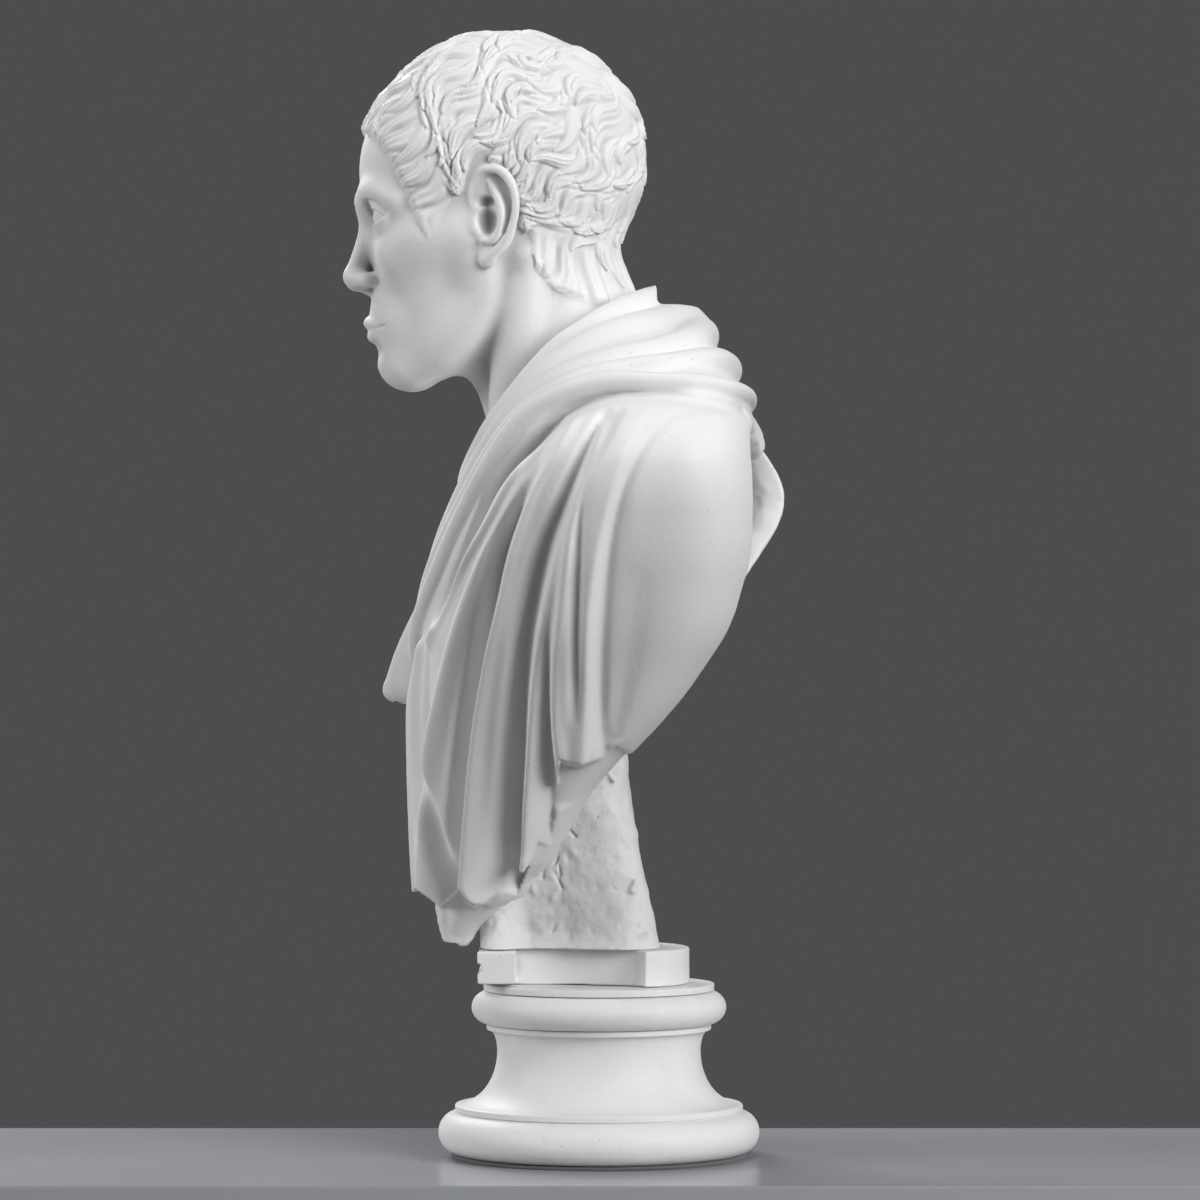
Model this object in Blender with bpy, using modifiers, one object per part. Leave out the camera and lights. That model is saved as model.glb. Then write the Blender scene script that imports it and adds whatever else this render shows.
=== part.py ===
"""A life-size draped marble bust on a turned socle, in metres, +Z up.

The bust looks along -Y and its left shoulder is at +X. The origin is the middle of the base's
underside. Five blocks of marble are pinned together: the head, the draped shell, the support
column, the foot plinth and the socle. A threaded rod clamps the foot to the socle.
"""

import math

import bmesh
import bpy
from mathutils import Matrix, Vector

GAP = 0.0003  # bedding gap kept between pieces that touch

# Socle: a turned base, hollow underneath
FELT_THICKNESS = 0.002
FELT_RADIUS = 0.098
SOCLE_BOTTOM = FELT_THICKNESS + GAP
SOCLE_TOP = 0.115
LOWER_TORUS_RADIUS = 0.1065
LOWER_TORUS_TOP = 0.030
LOWER_TORUS_BULGE = 0.0125
SCOTIA_FOOT_RADIUS = 0.0955
SCOTIA_FOOT_HEIGHT = 0.034
SCOTIA_WAIST_RADIUS = 0.0675
SCOTIA_WAIST_HEIGHT = 0.070
SCOTIA_NECK_RADIUS = 0.0745
SCOTIA_NECK_HEIGHT = 0.087
UPPER_TORUS_RADIUS = 0.0845
UPPER_TORUS_TOP = 0.110
UPPER_TORUS_BULGE = 0.0115
TOP_DISC_RADIUS = 0.0765
RECESS_RADIUS = 0.036
RECESS_TOP = 0.068
FILLET_HEIGHT = 0.0025  # small flat step between the neck and the upper torus
ARRIS = 0.0005  # small upright step where a disc meets a torus

# Foot plinth and its index tablet
PLINTH_BOTTOM = SOCLE_TOP + GAP
PLINTH_TOP = 0.139
PLINTH_BACK_RADIUS = 0.060
PLINTH_EAR = Vector((0.052, 0.030))  # corner where the round back meets the hollow flank
PLINTH_NECK_HALF_WIDTH = 0.019
TABLET_HALF_WIDTH = 0.048
TABLET_FRONT = -0.0795
TABLET_BACK = -0.0545
TABLET_UNDERCUT = 0.002
TABLET_GROOVE_RADIUS = 0.0034
TABLET_GROOVE_HEIGHT = 0.1275

# Support column
COLUMN_BOTTOM = PLINTH_TOP + GAP
COLUMN_TOP = 0.440
COLUMN_CLEARANCE = 0.0012  # room kept round the column where it enters the shell

# Draped shell
SHELL_WALL = 0.016
CAVITY_CEILING = COLUMN_TOP + GAP

# Head: its centre is the point midway between the ears
HEAD_CENTRE = Vector((0.0, -0.063, 0.619))
HEAD_NOD = math.radians(7.0)
NECK_BASE = Vector((0.0, -0.012, 0.500))
NECK_BASE_RADIUS = 0.060
NECK_TOP = Vector((0.0, -0.045, 0.600))
NECK_TOP_RADIUS = 0.054
EAR_X = 0.073
EAR_PLACE = (-0.006, 0.003)
EAR_SIZE = (0.012, 0.017, 0.031)
TENON_RADIUS = 0.046
TENON_BOTTOM = 0.462
TENON_SHOULDER = 0.0065  # height of the flare between the tenon and the neck
NECK_CLEARANCE = 0.0015

# Hardware
ROD_RADIUS = 0.006
ROD_HOLE_RADIUS = 0.007
ROD_BOTTOM = 0.040
ROD_TOP = 0.225
DOWEL_RADIUS = 0.008
DOWEL_Y = -0.012
DOWEL_BOTTOM = 0.400
DOWEL_TOP = 0.520
PIN_RADIUS = 0.003
PIN_X = 0.036
PIN_Y = 0.030
PIN_BOTTOM = 0.103
PIN_TOP = 0.128
NUT_ACROSS_FLATS = 0.019
NUT_HEIGHT = 0.010
WASHER_THICKNESS = 0.003
CLAMP_WASHER_RADIUS = 0.030
ANCHOR_WASHER_RADIUS = 0.015
SPRING_WASHER_RADIUS = 0.0105
SPRING_WASHER_THICKNESS = 0.003
ANCHOR_NUT_BOTTOM = 0.205
THREAD_GAP = 0.0004
PAST = 0.01  # how far a cutter runs past the face it opens

ROUND_STEPS = 48
ARC_STEPS = 8


# ---------------------------------------------------------------- scene and small helpers

def clear_scene():
    for obj in list(bpy.data.objects):
        bpy.data.objects.remove(obj)


def new_collection(name):
    collection = bpy.data.collections.new(name)
    bpy.context.scene.collection.children.link(collection)
    return collection


def material(name, colour, roughness, metallic=0.0):
    mat = bpy.data.materials.new(name)
    mat.use_nodes = True
    shader = mat.node_tree.nodes["Principled BSDF"]
    shader.inputs["Base Color"].default_value = (*colour, 1.0)
    shader.inputs["Roughness"].default_value = roughness
    shader.inputs["Metallic"].default_value = metallic
    return mat


def object_from_bmesh(name, bm, collection, mat=None):
    bmesh.ops.recalc_face_normals(bm, faces=bm.faces)
    mesh = bpy.data.meshes.new(name)
    bm.to_mesh(mesh)
    bm.free()
    obj = bpy.data.objects.new(name, mesh)
    collection.objects.link(obj)
    if mat:
        mesh.materials.append(mat)
    mesh.shade_smooth()
    mesh.set_sharp_from_angle(angle=math.radians(35))
    return obj


def as_cutter(obj):
    obj.hide_render = True
    obj.display_type = "WIRE"
    return obj


def boolean(obj, other, operation):
    modifier = obj.modifiers.new(f"{operation.lower()} {other.name}", "BOOLEAN")
    modifier.operation = operation
    modifier.object = other
    modifier.solver = "EXACT"


def cylinder(name, radius, bottom, top, collection, mat=None, at=(0.0, 0.0), sides=24):
    bm = bmesh.new()
    middle = Matrix.Translation((at[0], at[1], (bottom + top) / 2))
    bmesh.ops.create_cone(
        bm,
        cap_ends=True,
        segments=sides,
        radius1=radius,
        radius2=radius,
        depth=top - bottom,
        matrix=middle,
    )
    return object_from_bmesh(name, bm, collection, mat)


def washer(name, inner, outer, bottom, top, collection, mat):
    """A flat ring, turned from its rectangular section."""
    section = [(inner, top), (outer, top), (outer, bottom), (inner, bottom)]
    return turned(name, section, collection, mat, steps=24)


def split_washer(name, inner, outer, bottom, top, collection, mat):
    """A ring with a gap cut through one side, so that it springs."""
    gap = math.radians(12)
    sections = []
    for i in range(25):
        a = gap / 2 + (math.tau - gap) * i / 24
        across = [(inner, bottom), (outer, bottom), (outer, top), (inner, top)]
        sections.append([(r * math.cos(a), r * math.sin(a), z) for r, z in across])
    return loft(name, sections, collection, mat)


def turned(name, profile, collection, mat, steps=ROUND_STEPS):
    """Turns a closed profile of (radius, height), listed down its outer side, about +Z."""
    bm = bmesh.new()
    verts = [bm.verts.new((radius, 0.0, height)) for radius, height in profile]
    for pair in zip(verts, verts[1:] + verts[:1]):
        bm.edges.new(pair)
    mesh = bpy.data.meshes.new(name)
    bm.to_mesh(mesh)
    bm.free()
    obj = bpy.data.objects.new(name, mesh)
    collection.objects.link(obj)
    mesh.materials.append(mat)
    screw = obj.modifiers.new("turn", "SCREW")
    screw.steps = steps
    screw.render_steps = steps
    screw.use_merge_vertices = True
    screw.merge_threshold = 0.00005
    return obj


def loft(name, sections, collection, mat=None):
    """A closed solid through rings of points that all have the same count."""
    bm = bmesh.new()
    rings = [[bm.verts.new(point) for point in section] for section in sections]
    count = len(rings[0])
    for lower, upper in zip(rings, rings[1:]):
        for i in range(count):
            j = (i + 1) % count
            bm.faces.new((lower[i], lower[j], upper[j], upper[i]))
    bm.faces.new(list(reversed(rings[0])))
    bm.faces.new(rings[-1])
    return object_from_bmesh(name, bm, collection, mat)


def extruded(name, outline, bottom, top, collection, mat=None):
    """A flat outline raised from bottom to top."""
    return loft(name, [[(x, y, z) for x, y in outline] for z in (bottom, top)], collection, mat)


def hexagon(across_flats):
    radius = across_flats / math.sqrt(3)
    corners = [math.radians(60 * i) for i in range(6)]
    return [(radius * math.cos(a), radius * math.sin(a)) for a in corners]


def arc(centre, radius, start, end, steps=ARC_STEPS):
    """Points on a circle from start to end, in degrees, ends included."""
    angles = [math.radians(start + (end - start) * i / steps) for i in range(steps + 1)]
    return [(centre[0] + radius * math.cos(a), centre[1] + radius * math.sin(a)) for a in angles]


# ---------------------------------------------------------------- socle

def scotia_curve(top, waist, foot, steps=ARC_STEPS):
    """The hollow between two fillets: a quarter ellipse down to the waist, a longer one below it."""
    points = []
    for i in range(steps + 1):
        a = math.pi / 2 * i / steps
        points.append((
            waist[0] + (top[0] - waist[0]) * (1 - math.sin(a)),
            waist[1] + (top[1] - waist[1]) * math.cos(a),
        ))
    for i in range(1, steps + 1):
        a = math.pi / 2 * i / steps
        points.append((
            waist[0] + (foot[0] - waist[0]) * (1 - math.cos(a)),
            waist[1] + (foot[1] - waist[1]) * math.sin(a),
        ))
    return points


def torus_curve(radius, bottom, top, inset, steps=ARC_STEPS):
    """The bulging half round of a torus, from its top edge down to its bottom edge."""
    half = (top - bottom) / 2
    points = []
    for i in range(steps + 1):
        a = math.pi / 2 - math.pi * i / steps
        points.append((radius - inset + inset * math.cos(a), (top + bottom) / 2 + half * math.sin(a)))
    return points


def make_socle(parts, marble):
    upper_bottom = SCOTIA_NECK_HEIGHT + 2 * ARRIS
    profile = [(ROD_HOLE_RADIUS, SOCLE_TOP), (TOP_DISC_RADIUS, SOCLE_TOP)]
    profile.append((TOP_DISC_RADIUS, UPPER_TORUS_TOP + ARRIS))
    profile += torus_curve(UPPER_TORUS_RADIUS, upper_bottom, UPPER_TORUS_TOP, UPPER_TORUS_BULGE)
    profile += scotia_curve(
        (SCOTIA_NECK_RADIUS, SCOTIA_NECK_HEIGHT - FILLET_HEIGHT),
        (SCOTIA_WAIST_RADIUS, SCOTIA_WAIST_HEIGHT),
        (SCOTIA_FOOT_RADIUS, SCOTIA_FOOT_HEIGHT),
    )
    profile.append((SCOTIA_FOOT_RADIUS, LOWER_TORUS_TOP + ARRIS))
    profile += torus_curve(LOWER_TORUS_RADIUS, SOCLE_BOTTOM, LOWER_TORUS_TOP, LOWER_TORUS_BULGE)
    profile += [
        (RECESS_RADIUS, SOCLE_BOTTOM),
        (RECESS_RADIUS, RECESS_TOP),
        (ROD_HOLE_RADIUS, RECESS_TOP),
    ]
    socle = turned("socle", profile, parts, marble)
    for side, x in (("left", PIN_X), ("right", -PIN_X)):
        hole = cylinder(
            f"socle_hole_{side}", PIN_RADIUS + GAP, PIN_BOTTOM - GAP, SOCLE_TOP + PAST,
            CUTTERS, at=(x, PIN_Y), sides=12,
        )
        boolean(socle, as_cutter(hole), "DIFFERENCE")


# ---------------------------------------------------------------- foot plinth with its tablet

def plinth_outline():
    """Half outline from the tablet's back, along the hollow flank to the round back, then mirrored."""
    neck = Vector((PLINTH_NECK_HALF_WIDTH, TABLET_BACK - 0.004))
    flank = []
    for i in range(ARC_STEPS + 1):
        a = math.pi / 2 * i / ARC_STEPS
        flank.append((
            neck.x + (PLINTH_EAR.x - neck.x) * (1 - math.cos(a)),
            neck.y + (PLINTH_EAR.y - neck.y) * math.sin(a),
        ))
    ear_angle = math.degrees(math.atan2(PLINTH_EAR.y, PLINTH_EAR.x))
    back = arc((0.0, 0.0), PLINTH_BACK_RADIUS, ear_angle, 90.0)
    half = flank[:-1] + back
    return half + [(-x, y) for x, y in reversed(half[:-1])]


def make_foot_plinth(parts, marble):
    plinth = extruded("foot_plinth", plinth_outline(), PLINTH_BOTTOM, PLINTH_TOP, parts, marble)
    tablet_outline = [
        (TABLET_HALF_WIDTH, TABLET_FRONT),
        (TABLET_HALF_WIDTH, TABLET_BACK),
        (-TABLET_HALF_WIDTH, TABLET_BACK),
        (-TABLET_HALF_WIDTH, TABLET_FRONT),
    ]
    tablet_bottom = PLINTH_BOTTOM + TABLET_UNDERCUT
    tablet = extruded("tablet_block", tablet_outline, tablet_bottom, PLINTH_TOP - ARRIS, CUTTERS)
    boolean(plinth, as_cutter(tablet), "UNION")
    reach = TABLET_HALF_WIDTH + PAST
    groove = cylinder("tablet_groove", TABLET_GROOVE_RADIUS, -reach, reach, CUTTERS, sides=12)
    groove.data.transform(Matrix.Rotation(math.pi / 2, 4, "Y"))
    groove.data.transform(Matrix.Translation((0.0, TABLET_FRONT - ARRIS, TABLET_GROOVE_HEIGHT)))
    boolean(plinth, as_cutter(groove), "DIFFERENCE")
    rod_hole = cylinder(
        "plinth_rod_hole", ROD_HOLE_RADIUS, PLINTH_BOTTOM - PAST, PLINTH_TOP + PAST, CUTTERS,
    )
    boolean(plinth, as_cutter(rod_hole), "DIFFERENCE")
    for side, x in (("left", PIN_X), ("right", -PIN_X)):
        hole = cylinder(
            f"plinth_hole_{side}", PIN_RADIUS + GAP, PLINTH_BOTTOM - PAST, PIN_TOP + GAP,
            CUTTERS, at=(x, PIN_Y), sides=12,
        )
        boolean(plinth, as_cutter(hole), "DIFFERENCE")


# ---------------------------------------------------------------- support column

# height, back face Y, ridge half width, front face Y, front half width, half width of the waist
COLUMN_SECTIONS = (
    (COLUMN_BOTTOM, 0.038, 0.038, -0.077, 0.044, 0.017),
    (0.150, 0.036, 0.037, -0.077, 0.040, 0.018),
    (0.170, 0.033, 0.036, -0.078, 0.032, 0.020),
    (0.205, 0.027, 0.034, -0.080, 0.030, 0.023),
    (0.250, 0.019, 0.032, -0.084, 0.034, 0.027),
    (0.300, 0.016, 0.033, -0.090, 0.038, 0.031),
    (0.360, 0.022, 0.037, -0.088, 0.042, 0.036),
    (0.410, 0.034, 0.042, -0.074, 0.044, 0.040),
    (COLUMN_TOP, 0.040, 0.045, -0.062, 0.044, 0.042),
)


def column_ring(z, back, ridge, front, front_half, waist, grow=0.0):
    """A section with a flat front, a waist, a ridge down each flank and a round back."""
    ridge_y = back - 0.45 * ridge
    corners = [
        (0.0, front - grow),
        (front_half * 0.6, front - grow),
        (front_half + grow, front - grow),
        (front_half + grow, front + 0.018),
        (waist + grow, front + 0.034),
        ((waist + ridge) / 2 + grow - 0.003, (front + 0.034 + ridge_y) / 2),
        (ridge + grow, ridge_y),
        (ridge * 0.86 + grow, back - 0.16 * ridge),
        (ridge * 0.5, back + grow - 0.003),
        (0.0, back + grow),
    ]
    mirrored = [(-x, y) for x, y in reversed(corners[1:-1])]
    return [(x, y, z) for x, y in corners + mirrored]


def make_support_column(parts, marble):
    rings = [column_ring(*section) for section in COLUMN_SECTIONS]
    column = loft("support_column", rings, parts, marble)
    rod_hole = cylinder(
        "column_rod_hole", ROD_HOLE_RADIUS, COLUMN_BOTTOM - PAST, ROD_TOP + 0.002, CUTTERS,
    )
    boolean(column, as_cutter(rod_hole), "DIFFERENCE")
    low = ANCHOR_NUT_BOTTOM - WASHER_THICKNESS - 2 * GAP
    pocket = cylinder(
        "anchor_pocket", ANCHOR_WASHER_RADIUS + GAP, low, ANCHOR_NUT_BOTTOM + NUT_HEIGHT + GAP, CUTTERS,
    )
    boolean(column, as_cutter(pocket), "DIFFERENCE")
    dowel_hole = cylinder(
        "column_dowel_hole", DOWEL_RADIUS + GAP, DOWEL_BOTTOM - GAP, COLUMN_TOP + PAST,
        CUTTERS, at=(0.0, DOWEL_Y),
    )
    boolean(column, as_cutter(dowel_hole), "DIFFERENCE")


# ---------------------------------------------------------------- draped shell

# height, front Y, back Y, half width, Y of the widest place
SHELL_SECTIONS = (
    (0.143, -0.112, -0.080, 0.034, -0.096),
    (0.160, -0.119, -0.060, 0.050, -0.085),
    (0.200, -0.122, -0.030, 0.082, -0.060),
    (0.250, -0.124, 0.006, 0.122, -0.035),
    (0.300, -0.130, 0.052, 0.162, -0.010),
    (0.350, -0.126, 0.088, 0.198, 0.010),
    (0.400, -0.110, 0.104, 0.224, 0.024),
    (0.440, -0.094, 0.108, 0.238, 0.030),
    (0.470, -0.082, 0.108, 0.238, 0.032),
    (0.495, -0.070, 0.105, 0.218, 0.034),
    (0.515, -0.054, 0.101, 0.184, 0.036),
    (0.535, -0.030, 0.094, 0.144, 0.040),
    (0.555, -0.004, 0.082, 0.104, 0.043),
    (0.571, 0.012, 0.070, 0.070, 0.044),
)
SECTION_POINTS = 40
SECTION_SQUARENESS = 2.3
FRONT_LOBE = 0.018  # the fold that hangs forward over the right of the chest
BACK_LOBE = 0.026  # how much further back the right shoulder reaches
BACK_LIP = 0.058  # how far the drapery wraps round behind each shoulder


def shell_ring(z, front, back, half, middle, inset=0.0):
    """One level section of the draped chest, or of its inside when it is inset."""
    ring_points = []
    lobe = math.exp(-(((z - 0.31) / 0.045) ** 2))
    shoulder = math.exp(-(((z - 0.44) / 0.05) ** 2))
    for i in range(SECTION_POINTS):
        angle = math.tau * i / SECTION_POINTS
        across = math.copysign(abs(math.cos(angle)) ** (2 / SECTION_SQUARENESS), math.cos(angle))
        along = math.copysign(abs(math.sin(angle)) ** (2 / SECTION_SQUARENESS), math.sin(angle))
        x = (half - inset) * across
        if along < 0:
            y = middle + (middle - front - inset) * along
            y -= FRONT_LOBE * lobe * math.exp(-(((x + 0.075) / 0.045) ** 2)) * -along
        else:
            y = middle + (back - middle - inset) * along
            if x < 0:
                y += BACK_LOBE * shoulder * along * min(1.0, -x / 0.12)
        ring_points.append((x, y, z))
    return ring_points


def opening_ring(z, back, half, middle):
    """One level of the opening at the back, between the lips of the two shoulders."""
    width = max(half - BACK_LIP, 0.72 * half)
    deep = middle - 0.01
    return [(-width, deep, z), (width, deep, z), (width, back + 0.06, z), (-width, back + 0.06, z)]


def neck_cutter():
    """The socket for the neck and its tenon."""
    rings = [
        circle_ring(Vector((0.0, NECK_BASE.y, TENON_BOTTOM - GAP)), TENON_RADIUS + GAP),
        circle_ring(Vector((0.0, NECK_BASE.y, NECK_BASE.z - TENON_SHOULDER - GAP)), TENON_RADIUS + 2 * GAP),
        circle_ring(NECK_BASE, NECK_BASE_RADIUS + NECK_CLEARANCE),
        circle_ring(NECK_TOP, NECK_TOP_RADIUS + NECK_CLEARANCE),
    ]
    return loft("neck_socket", rings, CUTTERS)


def make_draped_shell(parts, marble):
    shell = loft("draped_shell", [shell_ring(*s) for s in SHELL_SECTIONS], parts, marble)
    below = [section for section in SHELL_SECTIONS if section[0] <= COLUMN_TOP]
    hollow = [shell_ring(*section, inset=min(SHELL_WALL, 0.4 * section[3])) for section in below]
    opening = [opening_ring(z, back, half, middle) for z, _, back, half, middle in below]
    for rings in (hollow, opening):
        rings[0] = [(x, y, z - 2 * PAST) for x, y, z in rings[0]]
        rings[-1] = [(x, y, CAVITY_CEILING) for x, y, _ in rings[-1]]
    boolean(shell, as_cutter(loft("back_hollow", hollow, CUTTERS)), "DIFFERENCE")
    boolean(shell, as_cutter(loft("back_opening", opening, CUTTERS)), "DIFFERENCE")
    rings = [column_ring(*section, grow=COLUMN_CLEARANCE) for section in COLUMN_SECTIONS]
    rings[0] = [(x, y, COLUMN_BOTTOM - PAST) for x, y, _ in rings[0]]
    rings[-1] = [(x, y, CAVITY_CEILING) for x, y, _ in rings[-1]]
    boolean(shell, as_cutter(loft("column_room", rings, CUTTERS)), "DIFFERENCE")
    boolean(shell, as_cutter(neck_cutter()), "DIFFERENCE")
    dowel_hole = cylinder(
        "shell_dowel_hole", DOWEL_RADIUS + GAP, DOWEL_BOTTOM, DOWEL_TOP, CUTTERS, at=(0.0, DOWEL_Y),
    )
    boolean(shell, as_cutter(dowel_hole), "DIFFERENCE")


# ---------------------------------------------------------------- head

def circle_ring(centre, radius, sides=32):
    angles = [math.tau * i / sides for i in range(sides)]
    return [(centre.x + radius * math.cos(a), centre.y + radius * math.sin(a), centre.z) for a in angles]


def head_place():
    """From the upright head's own frame, centred between the ears, to the nodding head."""
    return Matrix.Translation(HEAD_CENTRE) @ Matrix.Rotation(HEAD_NOD, 4, "X")


def ear(name, x):
    bm = bmesh.new()
    bmesh.ops.create_uvsphere(bm, u_segments=16, v_segments=10, radius=1.0)
    shape = Matrix.Translation((x, *EAR_PLACE)) @ Matrix.Diagonal((*EAR_SIZE, 1.0))
    bm.transform(head_place() @ shape)
    return object_from_bmesh(name, bm, CUTTERS)


# height above the ears, front Y, back Y, half width
HEAD_SECTIONS = (
    (-0.103, -0.080, -0.045, 0.018),
    (-0.095, -0.087, -0.025, 0.034),
    (-0.080, -0.091, 0.000, 0.048),
    (-0.060, -0.091, 0.038, 0.057),
    (-0.038, -0.089, 0.062, 0.063),
    (-0.015, -0.089, 0.080, 0.068),
    (0.010, -0.091, 0.091, 0.074),
    (0.035, -0.097, 0.096, 0.077),
    (0.065, -0.094, 0.095, 0.077),
    (0.090, -0.082, 0.084, 0.068),
    (0.110, -0.064, 0.066, 0.054),
    (0.124, -0.038, 0.042, 0.034),
    (0.130, -0.014, 0.018, 0.012),
)


# height above the ears, tip Y, half width at the face
NOSE_SECTIONS = (
    (-0.040, -0.094, 0.008),
    (-0.034, -0.108, 0.015),
    (-0.026, -0.111, 0.016),
    (-0.010, -0.102, 0.010),
    (0.012, -0.092, 0.008),
)
NOSE_ROOT = -0.070  # how deep the nose reaches into the face


def head_ring(height, front, back, half, sides=32):
    """One section across the head, before it nods forward about the ears."""
    points = []
    for i in range(sides):
        angle = math.tau * i / sides
        x = half * math.cos(angle)
        y = (front + back) / 2 + (back - front) / 2 * math.sin(angle)
        points.append(head_place() @ Vector((x, y, height)))
    return points


def nose_ring(height, tip, half):
    """One section across the nose: a rounded wedge."""
    side = [(half, NOSE_ROOT), (half, tip + 0.016), (half * 0.6, tip + 0.004), (half * 0.2, tip)]
    outline = side + [(-x, y) for x, y in reversed(side)]
    return [head_place() @ Vector((x, y, height)) for x, y in outline]


def make_head(parts, marble):
    head = loft("head", [head_ring(*section) for section in HEAD_SECTIONS], parts, marble)
    neck = [
        circle_ring(Vector((0.0, NECK_BASE.y, TENON_BOTTOM)), TENON_RADIUS),
        circle_ring(Vector((0.0, NECK_BASE.y, NECK_BASE.z - TENON_SHOULDER)), TENON_RADIUS),
        circle_ring(NECK_BASE, NECK_BASE_RADIUS),
        circle_ring(NECK_TOP, NECK_TOP_RADIUS),
    ]
    masses = [
        loft("neck", neck, CUTTERS),
        loft("nose", [nose_ring(*section) for section in NOSE_SECTIONS], CUTTERS),
        ear("left_ear", EAR_X),
        ear("right_ear", -EAR_X),
    ]
    for mass in masses:
        boolean(head, as_cutter(mass), "UNION")
    dowel_hole = cylinder(
        "head_dowel_hole", DOWEL_RADIUS + GAP, TENON_BOTTOM - PAST, DOWEL_TOP + GAP,
        CUTTERS, at=(0.0, DOWEL_Y),
    )
    boolean(head, as_cutter(dowel_hole), "DIFFERENCE")


# ---------------------------------------------------------------- hardware and felt

def make_nut(name, bottom, parts, steel):
    nut = extruded(name, hexagon(NUT_ACROSS_FLATS), bottom, bottom + NUT_HEIGHT, parts, steel)
    bore = cylinder(
        f"{name}_bore", ROD_RADIUS + THREAD_GAP, bottom - PAST, bottom + NUT_HEIGHT + PAST, CUTTERS,
    )
    boolean(nut, as_cutter(bore), "DIFFERENCE")


def make_hardware(parts, steel):
    cylinder("tie_rod", ROD_RADIUS, ROD_BOTTOM, ROD_TOP, parts, steel)
    cylinder("neck_dowel", DOWEL_RADIUS, DOWEL_BOTTOM, DOWEL_TOP, parts, steel, at=(0.0, DOWEL_Y))
    for side, x in (("left", PIN_X), ("right", -PIN_X)):
        cylinder(
            f"locating_pin_{side}", PIN_RADIUS, PIN_BOTTOM, PIN_TOP, parts, steel,
            at=(x, PIN_Y), sides=12,
        )
    inner = ROD_RADIUS + THREAD_GAP
    washer_top = ANCHOR_NUT_BOTTOM - GAP
    washer(
        "anchor_washer", inner, ANCHOR_WASHER_RADIUS, washer_top - WASHER_THICKNESS, washer_top,
        parts, steel,
    )
    make_nut("anchor_nut", ANCHOR_NUT_BOTTOM, parts, steel)
    level = RECESS_TOP - GAP
    washer("clamp_washer", inner, CLAMP_WASHER_RADIUS, level - WASHER_THICKNESS, level, parts, steel)
    level -= WASHER_THICKNESS + GAP
    split_washer(
        "spring_washer", inner, SPRING_WASHER_RADIUS, level - SPRING_WASHER_THICKNESS, level,
        parts, steel,
    )
    level -= SPRING_WASHER_THICKNESS + GAP
    make_nut("clamp_nut", level - NUT_HEIGHT, parts, steel)


def make_felt_pad(parts, felt):
    cylinder("felt_pad", FELT_RADIUS, 0.0, FELT_THICKNESS, parts, felt, sides=ROUND_STEPS)


# ---------------------------------------------------------------- the whole bust

clear_scene()
PARTS = new_collection("marble_bust")
CUTTERS = new_collection("cutters")
WHITE_MARBLE = material("white_marble", (0.86, 0.86, 0.85), 0.42)
STEEL = material("stainless_steel", (0.62, 0.63, 0.64), 0.3, 1.0)
FELT = material("grey_felt", (0.16, 0.16, 0.17), 0.95)
make_socle(PARTS, WHITE_MARBLE)
make_foot_plinth(PARTS, WHITE_MARBLE)
make_support_column(PARTS, WHITE_MARBLE)
make_draped_shell(PARTS, WHITE_MARBLE)
make_head(PARTS, WHITE_MARBLE)
make_hardware(PARTS, STEEL)
make_felt_pad(PARTS, FELT)
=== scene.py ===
"""Looks of the marble bust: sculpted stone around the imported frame, in metres, +Z up.

The bust looks along -Y and its left shoulder is at +X. The head, the drapery and the support
column are sculpted as signed distance fields ("clay") and then cast into meshes. The foot plinth
and the socle are cut and turned meshes. The hidden hardware keeps its CAD shapes.
"""

import math

import bmesh
import bpy
import numpy as np
import openvdb
from mathutils import Matrix, Vector


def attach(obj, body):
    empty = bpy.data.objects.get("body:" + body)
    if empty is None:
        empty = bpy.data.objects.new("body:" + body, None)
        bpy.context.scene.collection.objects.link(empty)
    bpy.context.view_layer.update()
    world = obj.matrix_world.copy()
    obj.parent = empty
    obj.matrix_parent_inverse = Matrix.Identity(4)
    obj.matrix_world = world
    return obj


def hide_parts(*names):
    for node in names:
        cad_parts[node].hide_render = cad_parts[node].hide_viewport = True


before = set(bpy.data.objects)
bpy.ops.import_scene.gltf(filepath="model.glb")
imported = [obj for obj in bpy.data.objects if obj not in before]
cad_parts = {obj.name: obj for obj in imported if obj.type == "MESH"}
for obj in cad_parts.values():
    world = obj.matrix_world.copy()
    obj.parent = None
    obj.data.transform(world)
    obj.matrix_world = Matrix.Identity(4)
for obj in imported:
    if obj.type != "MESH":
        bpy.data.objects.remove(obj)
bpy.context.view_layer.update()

MM = 0.001
FAR = 0.05  # distance given to clay that nothing has reached yet
FACE_BUDGET = 196000  # triangles in one sculpted piece

# Grid steps of the sculpted pieces
HEAD_STEP = 0.8 * MM
SHELL_STEP = 1.4 * MM
COLUMN_STEP = 1.0 * MM
PLINTH_STEP = 0.55 * MM
CREASE_WIDE = 10 * MM  # how far round a place its creases are looked for, in two sizes
CREASE_FINE = 3 * MM

# The head's own frame: upright, centred between the ears, as the CAD head is
HEAD_CENTRE = Vector((0.0, -0.063, 0.619))
HEAD_NOD = math.radians(7.0)
HEAD_PLACE = Matrix.Translation(HEAD_CENTRE) @ Matrix.Rotation(HEAD_NOD, 4, "X")


# ---------------------------------------------------------------- clay

def soft_min(a, b, k):
    """The smaller distance, rounded over a blend of width k where the two are close."""
    h = np.maximum(k - np.abs(a - b), 0.0) / k
    return np.minimum(a, b) - h * h * (k * 0.25)


def ease(t):
    """From 0 to 1 as t is, but slow at both ends."""
    return t * t * (3 - 2 * t)


def smooth_max(a, b, k):
    """The larger distance, rounded in the same way."""
    return -soft_min(-a, -b, k)


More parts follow.
